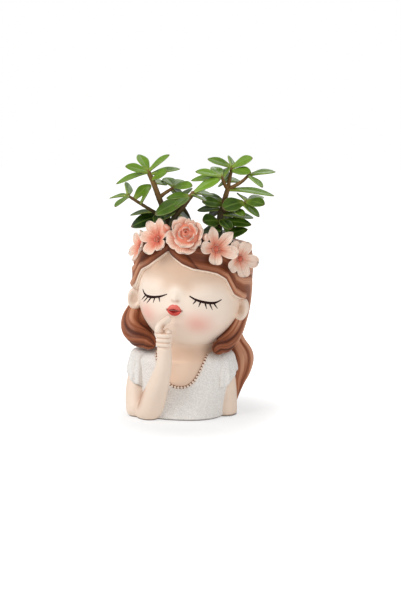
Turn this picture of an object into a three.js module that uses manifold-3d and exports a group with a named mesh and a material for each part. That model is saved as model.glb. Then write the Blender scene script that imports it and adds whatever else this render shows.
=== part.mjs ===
// A flower pot cast as the bust of a girl with her eyes closed. The head is the pot: it is open at the top inside
// a garland of five flowers, holds soil and a branching succulent, and drains through the hollow bust to a plug.
// Millimetres, +Z up, the face towards -Y. The origin is on the base, in the middle of the torso.
import * as THREE from "three";
import { mergeVertices } from "three/addons/utils/BufferGeometryUtils.js";
import Module from "manifold-3d";

const wasm = await Module();
wasm.setup();

// Clearances
const glueGap = 0.3; // between castings that are glued to each other
const seatGap = 0.3; // between pieces that only rest in each other

// Torso and dress
const baseHalfWidth = 35;
const baseHalfDepth = 30;
const chestHalfWidth = 40;
const chestHalfDepth = 22.5;
const shoulderHeight = 44.5;
const torsoTop = 56;
const torsoSquareness = 2.4;
const dressThickness = 2.6;
const necklineHalfWidth = 24;
const necklineBottom = 25;
const sleeveRadii = [11.5, 15, 15.5];
const sleeveDrop = 5.5; // centre of the sleeve below the shoulder
const beadRadius = 1.3;
const beadPitch = 2.3;

// Hollow of the bust, and its drain
const wall = 4.5;
const floorThickness = 8;
const neckRadius = 15;
const neckBack = 3; // the neck stands behind the middle of the torso
const throatFlare = 6; // how much the neck widens up to the head
const passageRadius = 8;
const drainRadius = 6;
const drainBack = 13;
const plugFlangeRadius = 9.5;
const plugFlangeThickness = 2.4;
const plugRecess = 0.8; // the flange stays this far above the table
const plugReach = 1.5; // the plug stands this far into the hollow

// Head
const headHalfWidth = 43.5;
const headHalfDepth = 40.5;
const headDrop = 47; // from the middle of the head down to the chin
const headDome = 105; // height at which the sides of the head would close
const rimRise = 43; // from the middle of the head up to the rim
const chinHeight = 56;
const headShift = 6; // towards +X, over the side that the head leans to
const headRoll = THREE.MathUtils.degToRad(6);
const headTurn = THREE.MathUtils.degToRad(-7);
const earRadii = [6, 6, 10];
const earHeight = -9;
const earReach = 2; // of the middle of the ear beyond the side of the head
const earHollowDepth = 2.2;
const noseRadius = 2.6;
const noseHeight = -1;
const lipHeight = -7.8;
const lipHalfWidth = 6.2;
const lipThickness = 2.6;

// Cup in the head, and its soil
const cupMouthRadius = 33;
const cupFloorRadius = 26;
const cupDepth = 68;
const soilBelowRim = 8;

// Hair
const fringeThickness = 4.2;
const hairSideThickness = 7.2;
const hairBackThickness = 8.5;
const hairDrop = 78;
const hairLength = 44; // from the middle of the head down to the ends of the back hair
const clumpPitch = 15; // degrees of bearing from one clump of hair to the next
const clumpDepth = 1.5; // of the grooves between clumps
const partingAngle = THREE.MathUtils.degToRad(-14);
const partingHeight = 34.5;
const templeHeight = 11;
const fringeSag = 25;
const lockShapes = { // places as shares of the head's half width and drop, with the level behind its middle in mm
  right: {
    radius: 11.8,
    path: [[-1.03, 9, -0.09], [-1.1, 3, -0.4], [-0.99, -5, -0.72], [-0.77, -12, -0.92], [-0.56, -16.5, -0.99]],
    swell: [0.4, 0.85, 1, 0.85, 0.42],
  },
  left: {
    radius: 8.6,
    path: [[1, 11, 0.08], [0.955, 5, -0.28], [0.885, -4, -0.6], [0.75, -11.5, -0.83], [0.6, -15.5, -0.935]],
    swell: [0.5, 0.88, 1, 0.95, 0.5],
  },
};
const tailRadius = 10.5;

// Arms
const armRadius = 9.6;
const elbowRadius = 11;
const wristRadius = 6.1;
const fingerRadius = 3.1;
const elbowX = -26;
const elbowY = -24;
const fistRadii = [6.8, 6, 9];

// Garland
const garlandAngle = THREE.MathUtils.degToRad(8);
const roseRadius = 18;
const innerBloomRadius = 16;
const outerBloomRadius = 14.5;
const budRadius = 5;
const petalThickness = 1.9;
const flowerGap = 0.5; // each flower keeps this far from the one before it

// Plant
const plantFacing = THREE.MathUtils.degToRad(8);
const stemRadius = 2.3;
const twigRadius = 1.5;
const leafThickness = 2.2;
const leafLength = 21; // a leaf that looks shorter points towards the front or the back
const leafBreadth = 9.5;
const leafFullness = 1.35; // how wide a leaf looks from the front, against the width listed with it
const frontSlope = 0.175; // the front is looked at from this much above, per mm of depth
const leafFront = new THREE.Vector3(0, -1, frontSlope); // a leaf that looks narrow is rolled away from this side
const stemRise = 4; // level above the rim that the places of stems and leaves are measured from
const rootDepth = 6; // how far the stems stand in the soil

const material = (colour, roughness) =>
  new THREE.MeshStandardMaterial({ color: colour, roughness, metalness: 0 });
const skinPaint = material(0xe9cdb6, 0.55);
const dressPaint = material(0xe6e2dc, 0.9);
const hairPaint = material(0x8a5237, 0.5);
const petalPaint = material(0xefc0aa, 0.6);
const rosePaint = material(0xe79c80, 0.6);
const leafGreen = material(0x4f7d2a, 0.45);
const soilBrown = material(0x3a2b20, 1);
const plugRubber = material(0x4a4a4a, 0.9);

const point = (x, y, z) => new THREE.Vector3(x, y, z);
const mix = THREE.MathUtils.lerp;
const smooth = (value, low, high) => THREE.MathUtils.smoothstep(value, low, high);

// Solids from three.js geometry, and back again

function solidOf(geometry) {
  const bare = geometry.clone();
  bare.deleteAttribute("normal");
  bare.deleteAttribute("uv");
  const merged = mergeVertices(bare, 1e-4);
  return new wasm.Manifold(
    new wasm.Mesh({
      numProp: 3,
      vertProperties: new Float32Array(merged.attributes.position.array),
      triVerts: new Uint32Array(merged.index.array),
    }),
  );
}

function geometryOf(solid) {
  const mesh = solid.getMesh();
  const geometry = new THREE.BufferGeometry();
  geometry.setAttribute("position", new THREE.BufferAttribute(mesh.vertProperties, 3));
  geometry.setIndex(new THREE.BufferAttribute(mesh.triVerts, 1));
  geometry.computeVertexNormals();
  return geometry;
}

// What is left in one piece after a cut: the crumbs go.
function largest(solid) {
  return solid.decompose().sort((a, b) => b.volume() - a.volume())[0];
}

const joined = (solids) => solids.reduce((all, next) => all.add(next));
const cutBy = (solid, tools) => largest(tools.reduce((left, tool) => left.subtract(tool), solid));

// A closed surface through rings of equal point counts, each ring counter-clockwise seen from the next one.
function skin(rings) {
  const sides = rings[0].length;
  const middle = (ring) => ring.reduce((sum, p) => sum.add(p), point(0, 0, 0)).divideScalar(sides);
  const points = [...rings.flat(), middle(rings[0]), middle(rings.at(-1))];
  const first = points.length - 2;
  const faces = [];
  rings.slice(1).forEach((_, i) => {
    for (let j = 0; j < sides; j++) {
      const a = i * sides + j;
      const b = i * sides + ((j + 1) % sides);
      faces.push(a, b, b + sides, a, b + sides, a + sides);
    }
  });
  const top = (rings.length - 1) * sides;
  for (let j = 0; j < sides; j++) {
    const next = (j + 1) % sides;
    faces.push(first, next, j, first + 1, top + j, top + next);
  }
  const geometry = new THREE.BufferGeometry().setFromPoints(points);
  geometry.setIndex(faces);
  return solidOf(geometry);
}

// A limb of changing radius along a smooth path, with rounded ends. side is the direction of its full width, and
// flat is its thickness as a share of that.
function limb(points, radii, { side = point(0, 1, 0), flat = 1, steps = 6, sides = 10, ends = 2 } = {}) {
  const path = new THREE.CatmullRomCurve3(points);
  const widths = new THREE.SplineCurve(radii.map((r, i) => new THREE.Vector2(i, r)));
  const ring = (centre, along, radius) => {
    const across = side.clone().addScaledVector(along, -side.dot(along)).normalize();
    const up = along.clone().cross(across);
    return Array.from({ length: sides }, (_, k) => {
      const angle = (2 * Math.PI * k) / sides;
      return centre
        .clone()
        .addScaledVector(across, radius * Math.cos(angle))
        .addScaledVector(up, flat * radius * Math.sin(angle));
    });
  };
  const rings = [];
  for (let i = 0; i <= steps; i++) {
    const t = i / steps;
    rings.push(ring(path.getPoint(t), path.getTangent(t), widths.getPoint(t).y));
  }
  const roundEnd = (t, radius, outward) => {
    const along = path.getTangent(t);
    return Array.from({ length: ends }, (_, i) => {
      const angle = ((i + 1) * Math.PI) / (2 * ends + 2);
      const centre = path.getPoint(t).addScaledVector(along, outward * flat * radius * Math.sin(angle));
      return ring(centre, along, radius * Math.cos(angle));
    });
  };
  const start = roundEnd(0, radii[0], -1).reverse();
  const end = roundEnd(1, radii.at(-1), 1);
  return skin([...start, ...rings, ...end]);
}

function ellipsoid(centre, radii, around = 12, up = 8) {
  const geometry = new THREE.SphereGeometry(1, around, up);
  geometry.scale(...radii);
  geometry.translate(centre.x, centre.y, centre.z);
  return solidOf(geometry);
}

// A turned solid from a profile of [radius, height] points that starts and ends on the axis.
function turned(profile, around = 24) {
  const points = profile.map(([radius, height]) => new THREE.Vector2(radius, height));
  const geometry = new THREE.LatheGeometry(points, around);
  geometry.rotateX(Math.PI / 2);
  return solidOf(geometry);
}

// A prism with its outline in the XZ plane, from y = 0 towards -Y.
function frontPrism(outline, depth) {
  const geometry = new THREE.ExtrudeGeometry(outline, { depth, bevelEnabled: false, curveSegments: 6 });
  geometry.rotateX(Math.PI / 2);
  return solidOf(geometry);
}

// Torso: a squarish oval that widens to the shoulders and closes in a low dome

const torsoWidthAt = (z) => mix(baseHalfWidth, chestHalfWidth, smooth(z, 0, shoulderHeight));
const torsoDepthAt = (z) => mix(baseHalfDepth, chestHalfDepth, smooth(z, 0, shoulderHeight));

function torso(inset, bottom = 0) {
  const around = 24;
  const domeHeight = torsoTop - shoulderHeight - inset;
  const ring = (z, width, depth) =>
    Array.from({ length: around }, (_, k) => {
      const angle = (2 * Math.PI * k) / around;
      const bend = (value) => Math.sign(value) * Math.abs(value) ** (2 / torsoSquareness);
      return point(width * bend(Math.cos(angle)), depth * bend(Math.sin(angle)), z);
    });
  const rings = [];
  for (let i = 0; i <= 5; i++) {
    const z = mix(bottom, shoulderHeight, i / 5);
    rings.push(ring(z, torsoWidthAt(z) - inset, torsoDepthAt(z) - inset));
  }
  for (const lift of [0.4, 0.7, 0.92, 1]) {
    const share = Math.sqrt(1 - (0.95 * lift) ** 2);
    rings.push(
      ring(shoulderHeight + domeHeight * lift, (chestHalfWidth - inset) * share, (chestHalfDepth - inset) * share),
    );
  }
  return skin(rings);
}

// Distance of the dress's front from the middle plane, at a place across and up the chest
function chestFront(x, z) {
  const share = Math.abs(x / torsoWidthAt(z)) ** torsoSquareness;
  return torsoDepthAt(z) * (1 - share) ** (1 / torsoSquareness);
}

// Head frame: every piece on the head is placed in it

const headHeight = chinHeight + headDrop;
const headFrame = new THREE.Group();
headFrame.position.set(headShift, 0, headHeight);
headFrame.rotation.set(0, headRoll, headTurn, "YXZ");
headFrame.updateMatrix();
const onHead = (x, y, z) => point(x, y, z).applyMatrix4(headFrame.matrix);
const intoWorld = (solid) => solid.transform(headFrame.matrix.elements);

const headShare = (z) => Math.sqrt(1 - (z / (z < 0 ? headDrop : headDome)) ** 2);

function headSkin(grow, above = 0) {
  const around = 26;
  const ring = (z, share) =>
    Array.from({ length: around }, (_, k) => {
      const angle = (2 * Math.PI * k) / around;
      const width = headHalfWidth * share + grow;
      const depth = headHalfDepth * share + grow;
      return point(width * Math.cos(angle), depth * Math.sin(angle), z);
    });
  const rings = [ring(-headDrop - grow, 0.02)];
  for (let i = 1; i <= 8; i++) {
    const angle = (Math.PI / 2) * (1 - i / 8);
    rings.push(ring(-headDrop * Math.sin(angle), Math.cos(angle)));
  }
  for (let i = 1; i <= 4; i++) {
    const z = (rimRise * i) / 4;
    rings.push(ring(z, headShare(z)));
  }
  if (above > 0) rings.push(ring(rimRise + above, headShare(rimRise)));
  return skin(rings);
}

// Depth of the face's front below its middle plane, at a place across and up the face
function faceFront(x, z) {
  const share = headShare(z);
  return headHalfDepth * share * Math.sqrt(1 - (x / (headHalfWidth * share)) ** 2);
}

function ear(sign, grow) {
  const centre = point(sign * (headHalfWidth + earReach), -2, earHeight);
  return ellipsoid(
    centre,
    earRadii.map((r) => r + grow),
    10,
    8,
  );
}

function earHollow(sign) {
  const [width, depth, height] = earRadii;
  const centre = point(sign * (headHalfWidth + earReach + 1.5), -2 - depth - 0.3 * earHollowDepth, earHeight);
  return ellipsoid(centre, [width * 0.62, earHollowDepth * 1.9, height * 0.6], 8, 6);
}

// Bust: the pot itself, one hollow casting from the base to the rim

const cupFloor = rimRise - cupDepth;
const coreInset = dressThickness + glueGap;
const overshoot = 5; // cutting tools run this far past what they cut

function neck(grow) {
  const foot = point(0, neckBack, shoulderHeight - 8);
  const top = onHead(0, neckBack, cupFloor - wall);
  const radii = [neckRadius + 2, neckRadius, neckRadius + throatFlare].map((r) => r + grow);
  return limb([foot, foot.clone().lerp(top, 0.55), top], radii, { side: point(1, 0, 0), steps: 4, sides: 16 });
}

function makeBust() {
  const nose = ellipsoid(
    point(0, -faceFront(0, noseHeight), noseHeight),
    [noseRadius, noseRadius * 1.1, noseRadius * 1.2],
    8,
    6,
  );
  const lips = [0.5, -0.5].map((side) =>
    ellipsoid(
      point(0, -faceFront(0, lipHeight) + 0.4, lipHeight + side * lipThickness),
      [lipHalfWidth * 0.75, lipThickness * 0.9, lipThickness * 0.85],
      10,
      6,
    ),
  );
  const head = joined([headSkin(0), ear(1, 0), ear(-1, 0), nose, ...lips])
    .subtract(earHollow(1))
    .subtract(earHollow(-1));
  const cup = turned([
    [0, cupFloor],
    [cupFloorRadius - 3, cupFloor],
    [cupFloorRadius, cupFloor + 3],
    [cupMouthRadius, rimRise],
    [cupMouthRadius, rimRise + overshoot],
    [0, rimRise + overshoot],
  ]);
  const hollow = torso(coreInset + wall, floorThickness);
  const passageFoot = point(0, neckBack, shoulderHeight - overshoot);
  const passage = limb([passageFoot, onHead(0, neckBack, cupFloor)], [passageRadius, passageRadius], {
    side: point(1, 0, 0),
    steps: 2,
    sides: 12,
  });
  const drain = turned([
    [0, -overshoot],
    [plugFlangeRadius + seatGap, -overshoot],
    [plugFlangeRadius + seatGap, plugRecess + plugFlangeThickness + seatGap],
    [drainRadius, plugRecess + plugFlangeThickness + seatGap],
    [drainRadius, floorThickness + overshoot],
    [0, floorThickness + overshoot],
  ]).translate([0, drainBack, 0]);
  return cutBy(joined([intoWorld(head), neck(0), torso(coreInset)]), [intoWorld(cup), hollow, passage, drain]);
}

// Plug: a rubber stopper pushed up into the drain from below

function makePlug() {
  const shank = drainRadius - seatGap;
  return turned([
    [0, plugRecess],
    [plugFlangeRadius, plugRecess],
    [plugFlangeRadius, plugRecess + plugFlangeThickness],
    [shank, plugRecess + plugFlangeThickness],
    [shank - 0.2, floorThickness + plugReach - 1],
    [shank - 1.2, floorThickness + plugReach],
    [0, floorThickness + plugReach],
  ]).translate([0, drainBack, 0]);
}

// Dress: a shell round the torso, with cap sleeves and a deep round neckline

function necklineHeight(x) {
  return mix(necklineBottom, torsoTop, Math.abs(x / necklineHalfWidth) ** 2.6);
}

function necklinePrism() {
  const outline = new THREE.Shape();
  const steps = 12;
  for (let i = 0; i <= steps; i++) {
    const x = mix(-necklineHalfWidth, necklineHalfWidth, i / steps);
    if (i === 0) outline.moveTo(x, torsoTop + overshoot);
    outline.lineTo(x, necklineHeight(x));
  }
  outline.lineTo(necklineHalfWidth, torsoTop + overshoot);
  return frontPrism(outline, baseHalfDepth + overshoot);
}

function sleeve(sign, grow) {
  const [width] = sleeveRadii;
  const centre = point(sign * (chestHalfWidth - 0.45 * width), 0, shoulderHeight - sleeveDrop);
  return ellipsoid(
    centre,
    sleeveRadii.map((r) => r + grow),
    14,
    10,
  );
}

const dressBody = (grow) => joined([torso(-grow), sleeve(1, grow), sleeve(-1, grow)]);

function makeDress() {
  const core = [torso(dressThickness), neck(glueGap), intoWorld(headSkin(glueGap))];
  return cutBy(dressBody(0), [...core, necklinePrism()]);
}

// Beads along the edge of the neckline, cast as one strip
function makeNeckTrim() {
  const edge = [];
  const inset = beadRadius + glueGap;
  const reach = necklineHalfWidth - inset;
  const steps = 40;
  for (let i = 0; i <= steps; i++) {
    const x = reach * Math.sin(mix(-1, 1, i / steps) * (Math.PI / 2));
    const z = necklineHeight((x * necklineHalfWidth) / reach) + inset;
    if (z > shoulderHeight - 1) continue;
    edge.push(point(x, -chestFront(x, z) + coreInset - glueGap - beadRadius, z));
  }
  const curve = new THREE.CatmullRomCurve3(edge);
  const count = Math.round(curve.getLength() / beadPitch);
  const places = curve.getSpacedPoints(2 * count);
  const radii = places.map((_, i) => (i % 2 ? beadRadius : 0.6 * beadRadius));
  const strip = limb(places, radii, { side: point(0, 1, 0), steps: 2 * count, sides: 6, ends: 0 });
  return cutBy(strip, [torso(coreInset - glueGap), neck(glueGap), intoWorld(headSkin(glueGap))]);
}

// Arms

const floorBelow = () => solidOf(new THREE.BoxGeometry(400, 400, 100).translate(0, 0, -50));

const elbow = point(elbowX, elbowY, elbowRadius - 2.5);
const wrist = onHead(-4.3, -headHalfDepth - 5, -headDrop);
const fist = onHead(-5.7, -headHalfDepth - 5.5, -0.74 * headDrop);

function rightArmBody(grow) {
  const shoulder = point(-chestHalfWidth + 5, 3, shoulderHeight - 4);
  const outer = point(-chestHalfWidth + 1.7, -7, 0.5 * shoulderHeight);
  const upper = limb(
    [shoulder, outer, elbow.clone().add(point(-9, 8, -4))],
    [armRadius - 1, armRadius, elbowRadius].map((r) => r + grow),
    { side: point(0, 1, 0), steps: 6, sides: 12 },
  );
  const middle = elbow.clone().lerp(wrist, 0.5).add(point(1, -1, 0));
  const forearm = limb(
    [elbow, middle, wrist, fist],
    [elbowRadius, armRadius - 0.8, wristRadius, wristRadius].map((r) => r + grow),
    { side: point(1, 0, 0), steps: 8, sides: 12 },
  );
  return upper.add(forearm);
}

function handBody(grow) {
  const [width, depth, height] = fistRadii;
  const axes = { side: point(0, 1, 0), steps: 3, sides: 8 };
  const palm = ellipsoid(
    fist,
    fistRadii.map((r) => r + grow),
    12,
    8,
  );
  const folded = [0.45, 0, -0.45].map((lift) => {
    const start = fist.clone().add(point(-0.62 * width, -0.72 * depth, lift * height));
    const end = fist.clone().add(point(0.55 * width, -0.8 * depth, lift * height - 0.4));
    return limb([start, end], [0.72 * fingerRadius + grow, 0.72 * fingerRadius + grow], {
      side: point(0, 0, 1),
      steps: 2,
      sides: 6,
      ends: 1,
    });
  });
  const knuckle = fist.clone().add(point(-0.42 * width, 0, 0.55 * height));
  const tip = onHead(-4.5, -faceFront(-4.5, -0.42 * headDrop) - fingerRadius, -0.42 * headDrop);
  const bend = knuckle.clone().lerp(tip, 0.55).add(point(-1.2, -0.8, 0.8));
  const index = limb([knuckle, bend, tip], [fingerRadius + grow, fingerRadius + grow, 0.85 * fingerRadius + grow], axes);
  const thumbRoot = fist.clone().add(point(0.3 * width, 0.2 * depth, 0.35 * height));
  const thumbTip = fist.clone().add(point(0.72 * width, -0.35 * depth, 0.62 * height));
  const thumb = limb([thumbRoot, thumbTip], [fingerRadius + grow, 0.8 * fingerRadius + grow], axes);
  return joined([palm, ...folded, index, thumb]);
}

function leftArmBody(grow) {
  const shoulder = point(chestHalfWidth - 4, 3, shoulderHeight - 4);
  const middle = point(chestHalfWidth - 3, 1, 0.5 * shoulderHeight);
  const foot = point(chestHalfWidth - 3.5, -1, -2);
  return limb(
    [shoulder, middle, foot],
    [armRadius - 1, armRadius, armRadius + 0.4].map((r) => r + grow),
    { side: point(0, 1, 0), steps: 6, sides: 12 },
  );
}

const bodyTools = () => [
  dressBody(glueGap),
  torso(coreInset - glueGap),
  neck(glueGap),
  intoWorld(headSkin(glueGap)),
];

const makeRightArm = () => cutBy(rightArmBody(0), [...bodyTools(), handBody(glueGap), floorBelow()]);
const makeRightHand = () => cutBy(handBody(0), bodyTools());
const makeLeftArm = () => cutBy(leftArmBody(0), [...bodyTools(), floorBelow()]);

// Hair: a cap round the back and sides of the head, with a swept fringe

// Clumps hang straight down the back and the sides, and sweep along the hem of the fringe above the face
function clumpGroove(bearing, z) {
  const spread = Math.abs(bearing);
  const hem = mix(fringeSag, templeHeight - 8, smooth(spread, 38, 76));
  const level = 74 + 1.5 * Math.max(z - hem, -20);
  const flow = 0.5 * (spread + level + Math.hypot(spread - level, 9.5));
  const uneven = flow + 2.2 * Math.sin(0.31 * flow);
  return clumpDepth * (1 - Math.abs(Math.sin((Math.PI * uneven) / clumpPitch)) ** 0.7);
}

function hairSkin(grow) {
  const around = 96;
  const ring = (z, share) =>
    Array.from({ length: around }, (_, k) => {
      const angle = (2 * Math.PI * k) / around;
      const back = Math.sin(angle); // 1 at the back of the head, -1 at the face
      const full =
        back < 0
          ? mix(hairSideThickness, fringeThickness, smooth(-back, 0.1, 0.9))
          : mix(hairSideThickness, hairBackThickness, back);
      const bearing = THREE.MathUtils.radToDeg(Math.atan2(Math.cos(angle), -back));
      const thickness = full - clumpGroove(bearing, z);
      const width = (headHalfWidth + thickness) * share + grow;
      const depth = (headHalfDepth + thickness) * share + grow;
      return point(width * Math.cos(angle), depth * Math.sin(angle), z);
    });
  const rings = [ring(-hairLength - grow, 0.86 * Math.sqrt(1 - (hairLength / hairDrop) ** 2))];
  for (let i = 0; i <= 5; i++) {
    const z = mix(-hairLength + 4, 0, i / 5);
    rings.push(ring(z, Math.sqrt(1 - (z / hairDrop) ** 2)));
  }
  for (let i = 1; i <= 10; i++) {
    const z = (rimRise * i) / 10;
    rings.push(ring(z, headShare(z)));
  }
  if (grow > 0) rings.push(ring(rimRise + grow, headShare(rimRise)));
  return skin(rings);
}

// The face shows below this line: it peaks at the parting and sweeps down to both temples
function faceWindow() {
  const partingX = headHalfWidth * Math.sin(partingAngle);
  const temple = headHalfWidth - 2;
  const side = headHalfWidth + hairSideThickness + overshoot;
  const below = -hairLength - overshoot;
  const outline = new THREE.Shape();
  outline.moveTo(-side, below);
  outline.lineTo(-side, 0);
  outline.lineTo(-temple - 1, 2);
  outline.lineTo(-temple, templeHeight);
  outline.quadraticCurveTo(mix(-temple, partingX, 0.55), fringeSag - 1, partingX, partingHeight);
  outline.quadraticCurveTo(mix(partingX, temple, 0.25), fringeSag - 1, mix(partingX, temple, 0.6), fringeSag - 2);
  outline.quadraticCurveTo(mix(partingX, temple, 0.9), fringeSag - 4, temple, templeHeight);
  outline.lineTo(temple + 1, 2);
  outline.lineTo(side, 0);
  outline.lineTo(side, below);
  return frontPrism(outline, headHalfDepth + fringeThickness + overshoot);
}

function makeHairCap() {
  const head = joined([headSkin(glueGap, overshoot), ear(1, glueGap), ear(-1, glueGap)]);
  return cutBy(intoWorld(hairSkin(0).subtract(head).subtract(faceWindow())), bodyTools());
}

// Locks over both shoulders, and the long tail behind the left one

function lock(name, grow) {
  const { radius, path, swell } = lockShapes[name];
  const places = path.map(([across, behind, up]) => onHead(across * headHalfWidth, behind, up * headDrop));
  const radii = swell.map((share) => share * radius + grow);
  const side = point(name === "left" ? 0.8 : -0.8, -0.6, 0);
  return limb(places, radii, { side, flat: 0.8, steps: 8, sides: 10 });
}

function tail(grow) {
  const out = headHalfWidth - 3.5;
  const path = [
    onHead(out - 8.5, 20, -0.3 * headDrop),
    point(out - 3, 19.5, shoulderHeight + 22),
    point(out + 2, 18, shoulderHeight + 11.5),
    point(out + 7, 16, shoulderHeight + 1.5),
    point(out + 6.5, 14, shoulderHeight - 8.5),
    point(out + 3.5, 12, 0.58 * shoulderHeight),
    point(out + 2.5, 10.5, 0.38 * shoulderHeight),
    point(out + 3, 10, 0.26 * shoulderHeight),
  ];
  const radii = [0.8, 0.78, 0.8, 0.92, 0.81, 0.6, 0.33, 0.12].map((share) => share * tailRadius + grow);
  return limb(path, radii, { side: point(1, 0, 0), flat: 0.8, steps: 14, sides: 10 });
}

const hairTools = () => [
  intoWorld(hairSkin(glueGap).subtract(faceWindow().subtract(headSkin(0)))),
  intoWorld(ear(1, glueGap)),
  intoWorld(ear(-1, glueGap)),
];

const makeLock = (name) =>
  cutBy(lock(name, 0), [...bodyTools(), ...hairTools(), handBody(glueGap), rightArmBody(glueGap)]);
const makeTail = () => cutBy(tail(0), [...bodyTools(), ...hairTools(), lock("left", glueGap), leftArmBody(glueGap)]);

// Garland: five flowers and two buds, each cast by itself and glued to the hair below the rim

function petal(length, width, lift, grow) {
  const path = [point(0.8, 0, 0), point(0.55 * length, 0, 0.3 * lift), point(length - 0.25 * width + grow, 0, lift)];
  const radii = [0.2, 0.5, 0.36].map((share) => share * width + grow);
  const flat = (petalThickness + 2 * grow) / (0.8 * width + 2 * grow);
  return limb(path, radii, { side: point(0, 1, 0), flat, steps: 3, sides: 6, ends: 1 });
}

function ringOfPetals(count, length, width, lift, grow, start = 0) {
  return Array.from({ length: count }, (_, i) =>
    petal(length, width, lift, grow).rotate([0, 0, start + (360 * i) / count]),
  );
}

function heart(height, radius, rise, grow) {
  return ellipsoid(point(0, 0, height), [radius + grow, radius + grow, rise + grow], 8, 4);
}

const bloom = (radius) => (grow) =>
  joined([
    heart(0.5, 0.26 * radius, 0.24 * radius, grow),
    ...ringOfPetals(5, radius, 0.82 * radius, 0.38 * radius, grow),
  ]);

const rose = (radius) => (grow) =>
  joined([
    heart(0.3 * radius, 0.3 * radius, 0.42 * radius, grow),
    ...ringOfPetals(5, radius, 0.95 * radius, 0.3 * radius, grow),
    ...ringOfPetals(5, 0.66 * radius, 0.7 * radius, 0.55 * radius, grow, 36),
  ]);

const bud = (radius) => (grow) =>
  joined([
    heart(0.5 * radius, 0.5 * radius, radius, grow),
    ...ringOfPetals(3, radius, 0.9 * radius, 0.8 * radius, grow),
  ]);

// A flower's seat: its bearing round the head, its height, how far it stands off the hair and how it faces
function seated(flower, bearing, height, { standOff, faceUp, spin = 0 }) {
  const angle = garlandAngle + THREE.MathUtils.degToRad(bearing);
  const share = headShare(Math.min(height, rimRise));
  const front = smooth(Math.cos(angle), 0.1, 0.9);
  const thickness = mix(hairSideThickness, fringeThickness, front);
  const seat = point(
    ((headHalfWidth + thickness) * share + standOff) * Math.sin(angle),
    -((headHalfDepth + thickness) * share + standOff) * Math.cos(angle),
    height,
  );
  const turn = new THREE.Matrix4()
    .makeRotationZ(angle)
    .multiply(new THREE.Matrix4().makeRotationX(Math.PI / 2 - THREE.MathUtils.degToRad(faceUp)))
    .multiply(new THREE.Matrix4().makeRotationZ(THREE.MathUtils.degToRad(spin)));
  turn.setPosition(seat);
  return (grow) => flower(grow).transform(turn.elements);
}

const garland = {
  crown_rose: seated(rose(roseRadius), -2, rimRise + 7, { standOff: 1, faceUp: 25, spin: 90 }),
  crown_bloom_left_inner: seated(bloom(innerBloomRadius), -36, rimRise + 0.5, { standOff: 2, faceUp: 25, spin: 20 }),
  crown_bloom_right_inner: seated(bloom(innerBloomRadius), 28, rimRise + 1.5, { standOff: 2, faceUp: 12, spin: 54 }),
  crown_bloom_left_outer: seated(bloom(outerBloomRadius), -51, rimRise - 8.5, { standOff: 2, faceUp: 10, spin: 45 }),
  crown_bloom_right_outer: seated(bloom(outerBloomRadius), 53, rimRise - 7.5, { standOff: 2, faceUp: 8, spin: 10 }),
  crown_bud_left: seated(bud(budRadius), -26, rimRise + 8.5, { standOff: 1, faceUp: 45 }),
  crown_bud_right: seated(bud(budRadius), 14, rimRise - 2, { standOff: 1, faceUp: 20 }),
};

function makeGarland() {
  const tools = [hairSkin(glueGap), headSkin(glueGap, glueGap)];
  return Object.entries(garland).map(([name, flower]) => {
    const trimmed = cutBy(flower(0), tools);
    tools.push(flower(flowerGap));
    return [name, trimmed];
  });
}

// Plant: four stems in the soil. Places are across, behind and above a point over the middle of the rim.
// A leaf grows from a share of the way along its branch to its tip, which is given across and up as seen from the
// front, with the leaf's width and whether it points ahead or behind.

const rootEnd = -stemRise - soilBelowRim - rootDepth;
const ahead = -1;
const behind = 1;

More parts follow.
